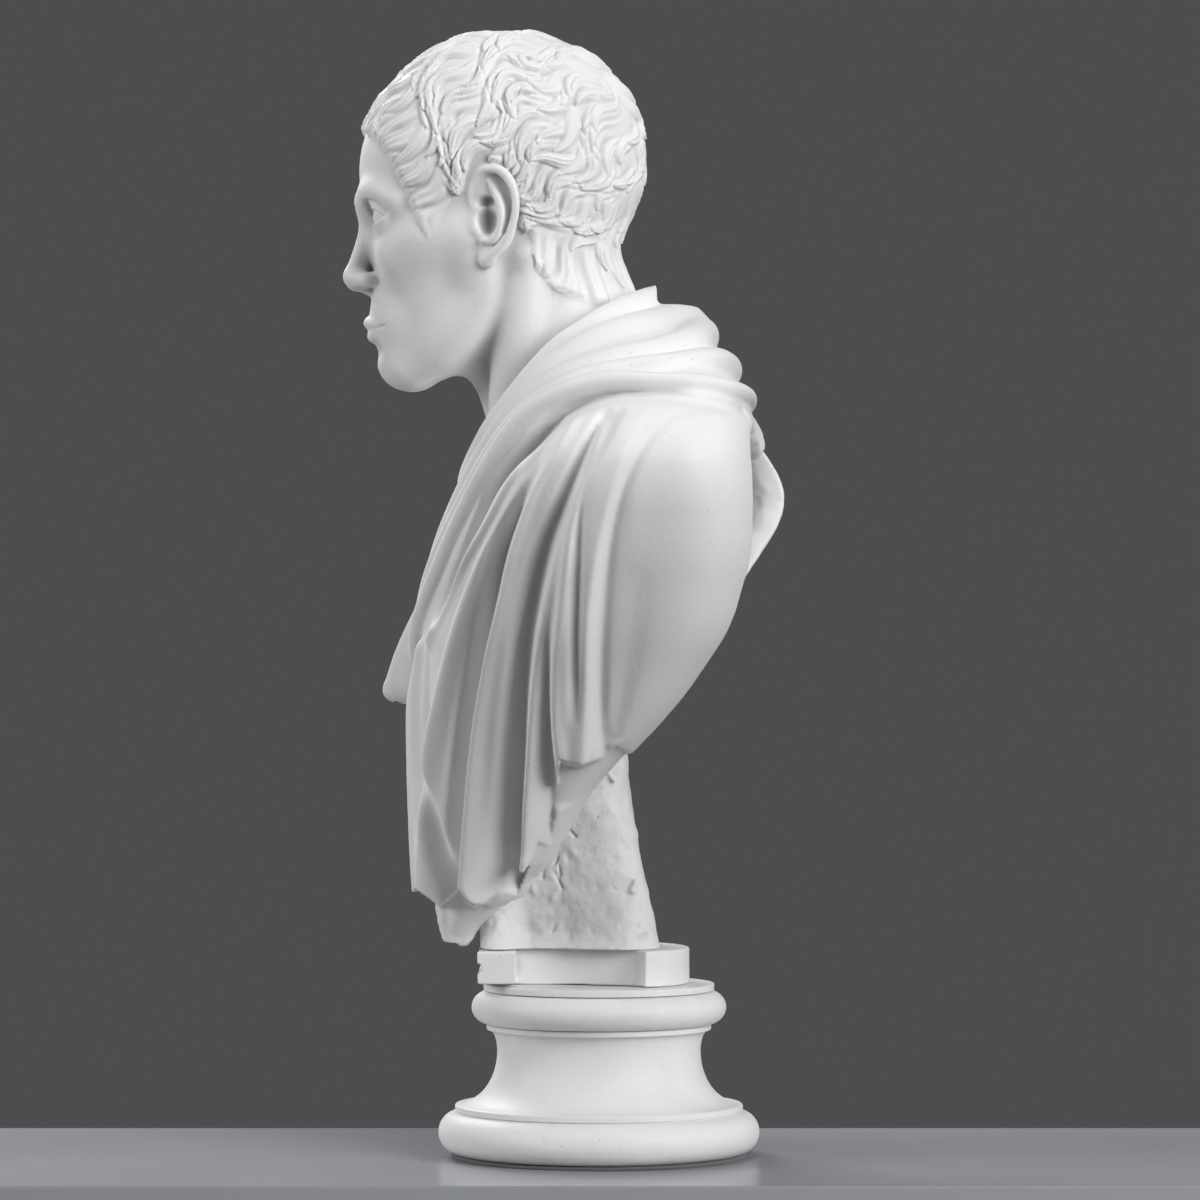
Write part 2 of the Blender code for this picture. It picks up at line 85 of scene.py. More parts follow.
class Clay:
    """Signed distances on a regular grid, negative inside the stone."""

    def __init__(self, low, high, step):
        self.step = step
        self.axes = [np.arange(a, b, step, dtype=np.float32) for a, b in zip(low, high)]
        self.field = np.full([len(axis) for axis in self.axes], FAR, np.float32)
        self.shade = None  # self.shade = None # crevice values for the painted shade, to use instead of those of the finished shape

    def window(self, low, high):
        """The slices of the grid between two corners, and its open coordinate arrays there."""
        slices = []
        for axis, a, b in zip(self.axes, low, high):
            first = min(max(int((a - axis[0]) / self.step), 0), len(axis) - 1)
            last = max(min(int((b - axis[0]) / self.step) + 2, len(axis)), first + 1)
            slices.append(slice(first, last))
        x, y, z = (axis[cut] for axis, cut in zip(self.axes, slices))
        return tuple(slices), (x[:, None, None], y[None, :, None], z[None, None, :])

    def around(self, path, reach):
        """The slices that leave room for reach on every side of a path."""
        slices, _ = self.window(path.min(axis=0) - reach, path.max(axis=0) + reach)
        return slices

    def beside(self, slices, a, b, near):
        """The grid near one step of a path, from a to b.

        Gives its place inside slices, how far along the step each point lies, from 0 to 1, and
        the point's offset from there.
        """
        part, (x, y, z) = self.window(np.minimum(a, b) - near, np.maximum(a, b) + near)
        inner = tuple(slice(s.start - o.start, s.stop - o.start) for s, o in zip(part, slices))
        along = b - a
        length2 = max(float(along @ along), 1e-12)
        x, y, z = x - a[0], y - a[1], z - a[2]
        t = np.clip((x * along[0] + y * along[1] + z * along[2]) / length2, 0.0, 1.0)
        return inner, t, (x - t * along[0], y - t * along[1], z - t * along[2])

    def add(self, slices, distance, blend):
        """Joins a shape, given by its distances, to the clay."""
        self.field[slices] = soft_min(self.field[slices], distance, blend)

    def cut(self, slices, distance, blend):
        """Takes a shape, given by its distances, out of the clay."""
        self.field[slices] = -soft_min(-self.field[slices], distance, blend)

    def ellipsoid(self, centre, radii, blend, cut=False, turn=None):
        """Adds or cuts an ellipsoid. turn is a rotation matrix for its axes."""
        reach = max(radii) + max(blend, 30 * MM)
        low = [c - reach for c in centre]
        high = [c + reach for c in centre]
        slices, coords = self.window(low, high)
        p = [a - c for a, c in zip(coords, centre)]
        if turn is not None:
            columns = [turn.col[i] for i in range(3)]
            p = [p[0] * c[0] + p[1] * c[1] + p[2] * c[2] for c in columns]
        k0 = np.sqrt(sum((a / r) ** 2 for a, r in zip(p, radii)))
        k1 = np.sqrt(sum((a / r ** 2) ** 2 for a, r in zip(p, radii)))
        distance = k0 * (k0 - 1.0) / np.maximum(k1, 1e-6)
        (self.cut if cut else self.add)(slices, distance.astype(np.float32), blend)

    def stroke(self, points, radii, blend, cut=False, detail=10):
        """Adds or cuts a round stroke along a smooth path. radii are spread evenly along it."""
        path = smooth_path(points, detail)
        width = spread(radii, len(path))
        margin = max(blend, 12 * MM)
        slices = self.around(path, max(width) + margin + 2 * self.step)
        distance = np.full([s.stop - s.start for s in slices], FAR, np.float32)
        for a, b, ra, rb in zip(path, path[1:], width, width[1:]):
            inner, t, (x, y, z) = self.beside(slices, a, b, max(ra, rb) + margin + self.step)
            gap = np.sqrt(x ** 2 + y ** 2 + z ** 2)
            gap -= ra + (rb - ra) * t
            distance[inner] = np.minimum(distance[inner], gap)
        (self.cut if cut else self.add)(slices, distance, blend)

    def cast(self, name, place=None):
        """The clay's surface as a mesh object, thinned where it is smooth."""
        crevice = self.crevices() if self.shade is None else self.shade
        band = 3 * self.step
        grid = openvdb.FloatGrid(band)
        grid.copyFromArray(np.clip(self.field, -band, band))
        points, quads = grid.convertToQuads()
        points = points * self.step + np.array([axis[0] for axis in self.axes])
        mesh = bpy.data.meshes.new(name)
        mesh.from_pydata(points.tolist(), [], quads[:, ::-1].tolist())
        if place is not None:
            mesh.transform(place)
        piece = put_in_scene(name, mesh)
        triangles = 2 * len(quads)
        if triangles > FACE_BUDGET:
            thin = piece.modifiers.new("thin", "DECIMATE")
            thin.ratio = FACE_BUDGET / triangles
            apply_modifiers(piece)
        piece.data.shade_smooth()
        back = Matrix.Identity(4) if place is None else place.inverted()
        self.mark_crevices(piece.data, crevice, np.array(back))
        return piece

    def crevices(self):
        """How closed in each place is: 0 on open faces and crests, towards 1 deep in creases. It sets how
        much painted shade the stone gets there.
        """
        solid = np.clip(0.5 - self.field / self.step, 0, 1)
        wide = box_blur(solid, max(round(CREASE_WIDE / self.step), 2))
        fine = box_blur(solid, max(round(CREASE_FINE / self.step), 1))
        return np.clip((wide - 0.50) * 5.0, 0, 1) * 0.6 + np.clip((fine - 0.52) * 4.5, 0, 1) * 0.4

    def mark_crevices(self, mesh, crevice, back):
        """Stores the crevice value at each vertex, read just outside the surface."""
        count = len(mesh.vertices)
        points = np.zeros(count * 3, np.float32)
        mesh.vertices.foreach_get("co", points)
        points = points.reshape(-1, 3) @ back[:3, :3].T + back[:3, 3]
        value = np.zeros(count)
        low = []
        part = []
        for i in range(3):
            place = np.clip((points[:, i] - self.axes[i][0]) / self.step, 0, len(self.axes[i]) - 1.001)
            low.append(place.astype(int))
            part.append(place - low[i])
        for corner in range(8):
            shift = [corner >> i & 1 for i in range(3)]
            weight = np.prod([part[i] if shift[i] else 1 - part[i] for i in range(3)], axis=0)
            value += weight * crevice[tuple(low[i] + shift[i] for i in range(3))]
        mark_vertices(mesh, value)


def mark_vertices(mesh, values):
    attribute = mesh.attributes.new("crevice", "FLOAT", "POINT")
    attribute.data.foreach_set("value", np.ascontiguousarray(values, np.float32))


def box_blur(values, reach):
    """Mean over a cube of 2 * reach + 1 cells, twice over."""
    for axis in (0, 1, 2):
        for _ in range(2):
            padding = [(0, 0)] * 3
            padding[axis] = (reach + 1, reach)
            total = np.cumsum(np.pad(values, padding, mode="edge"), axis=axis, dtype=np.float64)
            count = values.shape[axis]
            high = np.take(total, np.arange(count) + 2 * reach + 1, axis=axis)
            low = np.take(total, np.arange(count), axis=axis)
            values = ((high - low) / (2 * reach + 1)).astype(np.float32)
    return values


def put_in_scene(name, data):
    """A new object that shows a mesh, a light or a camera."""
    made = bpy.data.objects.new(name, data)
    bpy.context.scene.collection.objects.link(made)
    return made


def apply_modifiers(piece):
    """Turns what the modifiers show into the piece's own mesh."""
    depsgraph = bpy.context.evaluated_depsgraph_get()
    mesh = bpy.data.meshes.new_from_object(piece.evaluated_get(depsgraph))
    piece.modifiers.clear()
    piece.data = mesh


def smooth_path(points, detail):
    """A Catmull-Rom curve through the points, with detail steps between each pair."""
    p = np.array(points, np.float64)
    if len(p) < 3:
        return np.linspace(p[0], p[-1], detail + 1)
    p = np.vstack([2 * p[0] - p[1], p, 2 * p[-1] - p[-2]])
    curve = []
    for a, b, c, d in zip(p, p[1:], p[2:], p[3:]):
        for t in np.arange(detail) / detail:
            curve.append(0.5 * (
                2 * b + (c - a) * t + (2 * a - 5 * b + 4 * c - d) * t ** 2
                + (3 * b - a - 3 * c + d) * t ** 3
            ))
    return np.array(curve + [p[-2]])


def spread(values, count):
    """Values spread evenly over count places."""
    values = np.atleast_1d(np.array(values, float))
    return np.interp(np.linspace(0, 1, count), np.linspace(0, 1, len(values)), values)


def finish_piece(piece, node, material):
    """Gives a piece its material and lets it stand for a CAD node."""
    piece.data.materials.clear()
    piece.data.materials.append(material)
    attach(piece, "root")
    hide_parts(node)


# ---------------------------------------------------------------- head

SIDES = (1, -1)


def mm(points):
    """Listed millimetres to metres."""
    return np.array(points, float) * MM


def mirrored(points, side):
    """Points of the left side, or of the right side when side is -1."""
    return mm(points) * (side, 1, 1)


SKULL_CENTRE = mm((0, 6, 42))
SKULL_RADII = mm((75, 91, 83))


def skull_and_jaw(clay):
    clay.ellipsoid(SKULL_CENTRE, SKULL_RADII, 1 * MM)
    clay.ellipsoid(mm((0, -34, 36)), mm((60, 53, 50)), 22 * MM)
    clay.ellipsoid(mm((0, -40, -18)), mm((54, 49, 58)), 24 * MM)
    clay.ellipsoid(mm((0, -44, -60)), mm((38, 44, 36)), 24 * MM)
    clay.ellipsoid(mm((0, -80, -84)), mm((19, 14, 14)), 14 * MM)
    for side in SIDES:
        jaw = mirrored([(52, -18, -14), (45, -18, -50), (32, -46, -74), (14, -70, -88)], side)
        clay.stroke(jaw, mm((12, 13, 12, 12)), 20 * MM)
        cheek = mirrored([(52, -36, -2), (49, -52, -6), (36, -68, -14)], side)
        clay.stroke(cheek, mm((9, 12, 12)), 20 * MM)


NECK_PATH = ((0, 36, -150), (0, 36, -124), (0, 16, -21))
NECK_RADII = (58, 57, 50)
NECK_GAP = 0.6  # millimetres between the neck and its socket in the drapery


def neck(clay):
    clay.stroke(mm(NECK_PATH), mm(NECK_RADII), 16 * MM)
    throat = mm([(0, -6, -152), (0, -13, -132), (0, -20, -101), (0, -24, -88)])
    clay.stroke(throat, mm((11, 11, 11, 10)), 16 * MM)
    for side in SIDES:
        strap = mirrored([(54, 14, -30), (46, 4, -70), (28, -12, -118), (16, -10, -150)], side)
        clay.stroke(strap, mm((10, 11, 11, 10)), 14 * MM)


def brow_and_sockets(clay):
    for side in SIDES:
        clay.ellipsoid(mirrored((31, -96, 11), side), mm((18, 14, 11.5)), 12 * MM, cut=True)
        brow = mirrored([(10, -89, 25), (24, -86, 29), (38, -79, 28), (48, -67, 20)], side)
        clay.stroke(brow, mm((5, 5.5, 5.5, 4.5)), 12 * MM)
    clay.ellipsoid(mm((0, -86, 22)), mm((12, 8, 9)), 10 * MM)


def eyes(clay):
    """Blank eyeballs between an upper and a lower lid, with a fold above."""
    for side in SIDES:
        ball = mirrored((31, -71.5, 11), side)
        clay.ellipsoid(ball, mm((15.2, 15.2, 15.2)), 4 * MM)
        almond(clay, ball, side)
        clay.ellipsoid(ball, mm((13.3, 13.3, 13.3)), 0.4 * MM)
        crease = mirrored(
            [(17, -85, 15), (23, -87.5, 20.5), (31, -87.5, 23), (40, -83, 21), (47, -75, 14)], side,
        )
        clay.stroke(crease, mm((0.8, 1.3, 1.4, 1.2, 0.6)), 3 * MM, cut=True)


def almond(clay, ball, side):
    """The opening between the lids."""
    slices, (x, y, z) = clay.window(ball - 18 * MM, ball + 18 * MM)
    across = ((x - ball[0]) * side - 0.6 * MM) / (13.6 * MM)
    lift = 0.8 * MM * across
    arch = np.maximum(1 - np.abs(across) ** 2.2, 0.0)
    upper = lift + 6.6 * MM * arch
    lower = lift - 5.0 * MM * arch
    level = z - ball[2]
    opening = np.maximum(level - upper, lower - level) + 0 * y
    opening = np.maximum(opening, (y - ball[1]) + 3 * MM)
    clay.cut(slices, opening.astype(np.float32), 0.9 * MM)


def nose(clay):
    bridge = mm([(0, -83, 18), (0, -89, 8), (0, -96, -8), (0, -102, -21)])
    clay.stroke(bridge, mm((6.5, 5.5, 6, 6.5)), 9 * MM)
    clay.ellipsoid(mm((0, -102, -24)), mm((8, 8, 7)), 5 * MM)
    clay.stroke(mm([(0, -103, -29), (0, -95, -32)]), mm((3.4, 3.6)), 4 * MM)
    for side in SIDES:
        wing = mirrored([(7, -99, -26), (12.5, -94, -27), (13.5, -88, -28)], side)
        clay.stroke(wing, mm((5.5, 5.4, 4.5)), 4.5 * MM)
        nostril = mirrored([(5, -98, -35), (6.5, -93, -35)], side)
        clay.stroke(nostril, mm((1.9, 2.3)), 2 * MM, cut=True)
        groove = mirrored([(11, -97, -20), (18, -90, -23), (19, -86, -31)], side)
        clay.stroke(groove, mm((0.5, 0.8, 0.6)), 3 * MM, cut=True)


def mouth_and_chin(clay):
    clay.ellipsoid(mm((0, -76, -58)), mm((27, 18, 22)), 16 * MM)
    upper = mm([(-24, -83, -59), (-14, -92.5, -56.8), (-5, -96.3, -55), (0, -96.2, -55.6),
                (5, -96.3, -55), (14, -92.5, -56.8), (24, -83, -59)])
    clay.stroke(upper, mm((1.6, 3.0, 3.9, 4.0, 3.9, 3.0, 1.6)), 3 * MM)
    lower = mm([(-21, -84, -61), (-11, -92, -63.5), (0, -94.5, -64.5), (11, -92, -63.5), (21, -84, -61)])
    clay.stroke(lower, mm((1.6, 4.2, 4.8, 4.2, 1.6)), 3.5 * MM)
    line = mm([(-26, -86, -59.3), (-13, -97, -60), (0, -101, -59.8), (13, -97, -60), (26, -86, -59.3)])
    clay.stroke(line, mm((0.6, 0.6, 0.6, 0.6, 0.6)), 1.6 * MM, cut=True)
    clay.stroke(mm([(0, -101.5, -38), (0, -101.5, -50)]), mm((1.6, 2.2)), 4 * MM, cut=True)
    crease = mm([(-14, -94, -74), (0, -99, -75), (14, -94, -74)])
    clay.stroke(crease, mm((2.0, 3.2, 2.0)), 9 * MM, cut=True)


# ---------------------------------------------------------------- ears

EAR_TRAGUS = (63, -17, -2)  # of the left ear
EAR_FLARE = math.radians(19.0)
EAR_LEAN = math.radians(6.0)


def ear_points(points, side):
    """Millimetres back, up and out from the tragus, to the head's frame."""
    turn = Matrix.Rotation(-EAR_FLARE, 3, "Z") @ Matrix.Rotation(-EAR_LEAN, 3, "X")
    placed = [turn @ Vector((out, back, up)) + Vector(EAR_TRAGUS) for back, up, out in points]
    return mirrored([tuple(p) for p in placed], side)


def ears(clay):
    for side in SIDES:
        turn = (Matrix.Rotation(-EAR_FLARE * side, 3, "Z") @ Matrix.Rotation(-EAR_LEAN, 3, "X"))
        body = ear_points([(13, 6, 1)], side)[0]
        clay.ellipsoid(body, mm((5.0, 15.5, 27.5)), 3 * MM, turn=turn)
        root = ear_points([(6, 5, -7)], side)[0]
        clay.ellipsoid(root, mm((10, 12, 23)), 8 * MM, turn=turn)
        helix = ear_points([
            (6, 2, 1.5), (0, 8, 3), (-3, 17, 4.5), (0, 28, 6), (9, 34.5, 7), (20, 33, 7.5),
            (27, 25, 8), (29.5, 13, 7.5), (27.5, 0, 6.5), (21, -12, 5.5), (13, -20, 4.5), (7, -25, 3),
        ], side)
        clay.stroke(helix, mm((1.2, 2.0, 2.6, 3.0, 3.2, 3.2, 3.2, 3.0, 2.8, 2.8, 3.2, 3.0)), 1.6 * MM)
        bowl = ear_points([(9, 1, 7)], side)[0]
        clay.ellipsoid(bowl, mm((8.5, 8, 10)), 2 * MM, cut=True, turn=turn)
        cymba = ear_points([(9, 13, 7)], side)[0]
        clay.ellipsoid(cymba, mm((7, 7, 4.5)), 2 * MM, cut=True, turn=turn)
        fold = ear_points([
            (6, -12, 5), (13, -11.5, 6.5), (19, -3, 7), (19.5, 8, 7), (16, 18, 6.5), (11, 26, 5.5),
        ], side)
        clay.stroke(fold, mm((2.4, 2.6, 2.8, 2.8, 2.5, 1.6)), 1.5 * MM)
        scapha = ear_points([(16, 29, 8), (24, 20, 8.5), (25, 8, 8), (21, -7, 7)], side)
        clay.stroke(scapha, mm((2.0, 2.6, 2.5, 1.5)), 1.5 * MM, cut=True)
        tragus = ear_points([(-1, 2, 3), (0, -4, 4), (3, -9, 3)], side)
        clay.stroke(tragus, mm((2.4, 2.8, 1.8)), 3 * MM)
        lobe = ear_points([(8, -22, 2)], side)[0]
        clay.ellipsoid(lobe, mm((3.4, 6.5, 8)), 3 * MM, turn=turn)


# ---------------------------------------------------------------- hair

# Directions seen from the skull's centre: where the hair springs from, and the chart's middle
WHORL = Vector((0.10, 0.62, 0.40)).normalized()
CHART_MIDDLE = Vector((0.0, 0.45, 0.89)).normalized()
CHART_REACH = math.radians(150.0)
CHART_CELLS = 1100
CAP_HEIGHT = 1.8 * MM  # of the hair between the locks
LOCK_SPACING = 9.0 * MM
LOCK_STEP = 2.4 * MM
LOCK_LENGTH = (30, 50)  # millimetres, from the shortest to the longest
LOCK_WIDTH = (5.0, 6.8)
LOCK_HEIGHT = (3.6, 5.4)
LOCK_TWIST = 0.8
SHORTEST_LOCK = 4  # steps
WHORL_LOCKS = 9
WAVE_RATE = 12.5  # how fast the waves follow each other away from the whorl
WAVE_SWING = math.radians(42)

# The hairline seen from the side, in millimetres (back, up): forehead, temple, round the ear, nape
HAIRLINE = (
    (-110, 75), (-86, 74), (-76, 68), (-66, 52), (-57, 24), (-51, 4), (-45, -8), (-38, 2), (-29, 18),
    (-23, 32), (-8, 40), (8, 34), (14, 14), (14, -8), (19, -32), (31, -48), (50, -58), (72, -62),
    (120, -62),
)


def skull_surface(directions):
    """Points where rays from the skull's centre leave the skull."""
    length = 1.0 / np.sqrt(((directions / SKULL_RADII) ** 2).sum(axis=-1))
    return SKULL_CENTRE + directions * length[..., None]


def hairline_depth(points):
    """How far inside the hairline points on the skull lie, in metres; negative on skin."""
    y = points[..., 1]
    z = points[..., 2]
    outline = mm(HAIRLINE + ((120, 200), (-110, 200)))
    inside = np.zeros(y.shape, bool)
    nearest = np.full(y.shape, 1.0)
    for i in range(len(outline)):
        a = outline[i]
        b = outline[(i + 1) % len(outline)]
        crosses = (a[1] > z) != (b[1] > z)
        where = a[0] + (z - a[1]) * (b[0] - a[0]) / (b[1] - a[1] + 1e-12)
        inside ^= crosses & (y < where)
        if i < len(HAIRLINE) - 1:
            edge = b - a
            t = np.clip(((y - a[0]) * edge[0] + (z - a[1]) * edge[1]) / (edge @ edge), 0, 1)
            nearest = np.minimum(nearest, np.hypot(y - a[0] - t * edge[0], z - a[1] - t * edge[1]))
    return np.where(inside, nearest, -nearest)


class Scalp:
    """A round chart of the skull about its top, holding the height of the hair."""

    def __init__(self, size):
        self.size = size
        middle = np.array(CHART_MIDDLE)
        self.right = np.array((1.0, 0.0, 0.0))
        self.up = np.cross(middle, self.right)
        self.middle = middle
        span = np.linspace(-CHART_REACH, CHART_REACH, size)
        u, v = np.meshgrid(span, span, indexing="ij")
        angle = np.maximum(np.hypot(u, v), 1e-9)
        sine = np.sin(angle) / angle
        directions = (
            np.cos(angle)[..., None] * middle
            + (sine * u)[..., None] * self.right
            + (sine * v)[..., None] * self.up
        )
        self.points = skull_surface(directions)
        self.depth = hairline_depth(self.points)
        edge = np.clip(self.depth / (6 * MM), 0, 1)
        self.height = CAP_HEIGHT * edge * (2 - edge)

    def place(self, points):
        """Chart coordinates, in cells, of points in the head's frame."""
        rays = points - SKULL_CENTRE
        rays = rays / np.linalg.norm(rays, axis=-1, keepdims=True)
        angle = np.arccos(np.clip(rays @ self.middle, -1, 1))
        scale = angle / np.maximum(np.sin(angle), 1e-6)
        cells = np.stack([rays @ self.right, rays @ self.up], axis=-1) * scale[..., None]
        return (cells / CHART_REACH + 1) / 2 * (self.size - 1)

    def lay(self, path, width, height, strands, root):
        """Lays one lock of hair along a path on the skull, over the locks laid before it."""
        cells = self.place(path)
        margin = 3 + int(2.4 * width / (2 * CHART_REACH * 0.09 / self.size))
        low = np.maximum(cells.min(axis=0).astype(int) - margin, 0)
        high = np.minimum(cells.max(axis=0).astype(int) + margin, self.size)
        window = (slice(low[0], high[0]), slice(low[1], high[1]))
        ground = self.points[window]
        nearest = np.full(ground.shape[:2], 1.0)
        along = np.zeros(ground.shape[:2])
        side = np.zeros(ground.shape[:2])
        count = len(path) - 1
        for i in range(count):
            edge = path[i + 1] - path[i]
            outward = path[i] - SKULL_CENTRE
            across = np.cross(outward / np.linalg.norm(outward), edge)
            across /= np.linalg.norm(across)
            gap = ground - path[i]
            t = np.clip(gap @ edge / (edge @ edge), 0, 1)
            off = gap - t[..., None] * edge
            distance = np.sqrt((off * off).sum(axis=-1))
            closer = distance < nearest
            nearest = np.where(closer, distance, nearest)
            along = np.where(closer, (i + t) / count, along)
            side = np.where(closer, np.sign(off @ across), side)
        girth = width * np.minimum(1.0, 0.55 + 1.6 * along) * np.sqrt(np.clip((1 - along) / 0.55, 0.02, 1))
        s = nearest / girth
        dome = np.clip(1 - s ** 2.4, 0, 1) ** 0.7
        grain = 0.5 - 0.5 * np.cos(math.pi * (strands * (s * side + 1)))
        crest = root + (1 - root) * np.clip(along / 0.55, 0, 1) ** 0.8
        lock = height * dome * crest * (0.72 + 0.28 * grain)
        edge = np.exp(-((s - 1.05) / 0.22) ** 2) * np.clip((along - 0.1) / 0.3, 0, 1)
        below = self.height[window] * (1 - 0.45 * edge)
        self.height[window] = np.maximum(below, lock)

    def sample(self, points):
        cells = self.place(points)
        low = np.clip(cells.astype(int), 0, self.size - 2)
        t = cells - low
        i, j = low[..., 0], low[..., 1]
        h = self.height
        near = h[i, j] * (1 - t[..., 1]) + h[i, j + 1] * t[..., 1]
        far = h[i + 1, j] * (1 - t[..., 1]) + h[i + 1, j + 1] * t[..., 1]
        return near * (1 - t[..., 0]) + far * t[..., 0]


def hair_flow(point, curl):
    """The way hair lies at a point: away from the whorl and forward, in waves side by side."""
    ray = point - SKULL_CENTRE
    ray = ray / np.linalg.norm(ray)
    whorl = np.array(WHORL)
    apart = math.acos(max(-1.0, min(1.0, float(ray @ whorl))))
    away = ray - whorl
    away = away - ray * (away @ ray)
    away = away / max(np.linalg.norm(away), 1e-6)
    forward = np.array((0.0, -1.0, 0.0)) + ray * ray[1]
    low = min(max((0.02 - point[2]) / 0.05, 0.0), 1.0) * min(max(point[1] / 0.03, 0.0), 1.0)
    down = np.array((0.0, 0.0, -1.0)) + ray * ray[2]
    beside = abs(ray[0]) * min(max((0.02 - point[1]) / 0.03, 0.0), 1.0)
    flow = away + (0.25 * min(apart / 0.5, 1.0) + 1.3 * low) * forward + 1.1 * beside * down
    flow = flow / max(np.linalg.norm(flow), 1e-6)
    around = math.atan2(ray[0], ray[2] - 0.3)
    swirl = math.radians(40) * max(1 - apart / 0.5, 0.0)
    wave = math.sin(WAVE_RATE * apart + 2.6 * math.sin(2 * around + 0.7) + 0.9 * math.sin(5 * around))
    turn = swirl + WAVE_SWING * wave * min(apart / 0.25, 1.0) + curl
    return flow * math.cos(turn) + np.cross(ray, flow) * math.sin(turn)


def comb_lock(start, length, twist):
    """The path of one lock from where it springs, with its tip turned aside by twist."""
    path = [start]
    travelled = 0.0
    while travelled < length:
        curl = twist * (travelled / length) ** 2
        p = path[-1] + LOCK_STEP * hair_flow(path[-1], curl)
        ray = (p - SKULL_CENTRE) / np.linalg.norm(p - SKULL_CENTRE)
        p = skull_surface(ray[None])[0]
        if hairline_depth(p[None])[0] < -3 * MM:
            break
        path.append(p)
        travelled += LOCK_STEP
    return np.array(path)


def comb_hair(scalp, rng):
    """Covers the scalp with locks, each on a wavy path away from the whorl."""
    count = 6000
    i = np.arange(count)
    z = 1 - 2 * (i + 0.5) / count
    turn = i * math.pi * (3 - math.sqrt(5))
    flat = np.sqrt(1 - z * z)
    points = skull_surface(np.stack([flat * np.cos(turn), flat * np.sin(turn), z], axis=-1))
    depth = hairline_depth(points)
    kept = []
    for k in rng.permutation(count):
        if depth[k] < 1.5 * MM:
            continue
        if kept and np.min(np.linalg.norm(np.array(kept) - points[k], axis=1)) < LOCK_SPACING:
            continue
        kept.append(points[k])
    whorl_place = skull_surface(np.array(WHORL)[None])[0]
    kept.sort(key=lambda p: -np.linalg.norm(p - whorl_place))
    for start in kept:
        length = rng.uniform(*LOCK_LENGTH) * MM
        path = comb_lock(start, length, rng.uniform(-LOCK_TWIST, LOCK_TWIST))
        if len(path) < SHORTEST_LOCK:
            continue
        width = rng.uniform(*LOCK_WIDTH) * MM
        height = rng.uniform(*LOCK_HEIGHT) * MM
        scalp.lay(path, width, height, rng.integers(2, 5), 0.35)
    across = np.cross(np.array(WHORL), (1.0, 0.0, 0.0))
    beside = np.cross(across, np.array(WHORL))
    for k in range(WHORL_LOCKS):
        a = math.tau * k / WHORL_LOCKS
        start = whorl_place + 5 * MM * (math.cos(a) * across + math.sin(a) * beside)
        path = comb_lock(start, rng.uniform(26, 36) * MM, 0.4)
        scalp.lay(path, 5.5 * MM, rng.uniform(4.0, 5.0) * MM, 3, 0.7)


def grow_hair(clay):
    """Raises the clay over the scalp by the height of the hair."""
    scalp = Scalp(CHART_CELLS)
    comb_hair(scalp, np.random.default_rng(7))
    x, y, z = clay.axes
    near = np.argwhere(np.abs(clay.field) < 12 * MM)
    points = np.stack([x[near[:, 0]], y[near[:, 1]], z[near[:, 2]]], axis=-1).astype(float)
    depth = hairline_depth(points)
    over = depth > -5 * MM
    near, points, depth = near[over], points[over], depth[over]
    rise = scalp.sample(points) * np.clip((depth + 5 * MM) / (5 * MM), 0, 1) ** 0.7
    clay.field[tuple(near.T)] -= rise.astype(np.float32)


def make_head():
    clay = Clay(mm((-96, -118, -166)), mm((96, 112, 138)), HEAD_STEP)
    skull_and_jaw(clay)
    neck(clay)
    brow_and_sockets(clay)
    nose(clay)
    mouth_and_chin(clay)
    eyes(clay)
    grow_hair(clay)
    ears(clay)
    head = clay.cast("sculpted_head", HEAD_PLACE)
    finish_piece(head, "head", MARBLE)


# ---------------------------------------------------------------- draped shell

# The draped chest without its folds: height, front Y, back Y, half width, Y of the widest place
DRAPE_SECTIONS = np.array((
    (0.125, -0.104, -0.084, 0.022, -0.096),
    (0.143, -0.110, -0.078, 0.034, -0.096),
    (0.160, -0.114, -0.061, 0.050, -0.085),
    (0.200, -0.117, -0.027, 0.082, -0.060),
    (0.250, -0.119, 0.009, 0.122, -0.035),
    (0.300, -0.121, 0.060, 0.160, -0.010),
    (0.350, -0.117, 0.096, 0.196, 0.010),
    (0.400, -0.106, 0.110, 0.222, 0.024),
    (0.440, -0.092, 0.110, 0.235, 0.030),
    (0.470, -0.080, 0.107, 0.232, 0.032),
    (0.495, -0.068, 0.099, 0.206, 0.033),
    (0.515, -0.054, 0.089, 0.170, 0.034),
    (0.535, -0.032, 0.076, 0.130, 0.036),
    (0.555, -0.010, 0.059, 0.088, 0.038),
    (0.566, 0.008, 0.052, 0.058, 0.039),
    (0.574, 0.030, 0.047, 0.018, 0.040),
))
SQUARENESS = 2.3  # of the front half of a section; 2 is an ellipse
BACK_SQUARENESS = 3.3
SHELL_FOOT = 0.1405  # the lowest the drapery reaches
HOLLOW_TOP = 0.486  # height of the hollow where it opens at the back
HOLLOW_BOTTOM = 0.168
WALL = 15 * MM
FRONT_WALL = 11 * MM  # how much thicker the wall is at the front
WALL_BEHIND_FOLDS = 4.5 * MM  # how much thicker the wall may be behind a sunk fold
RIGHT_SHOULDER_BACK = 38 * MM  # how much further back the right shoulder reaches
DRAPE_TOP = 0.553
FOLD_RISE = 1.35
FOLD_SINK = 1.3
FOLD_LIMIT = 20 * MM  # no fold rises or sinks further than this
UNDER_LAYER = 9 * MM  # how far the cloth below the hem lies behind the folds, at the front
RIM_LAYER = 2.5 * MM  # the same along the rim of each side

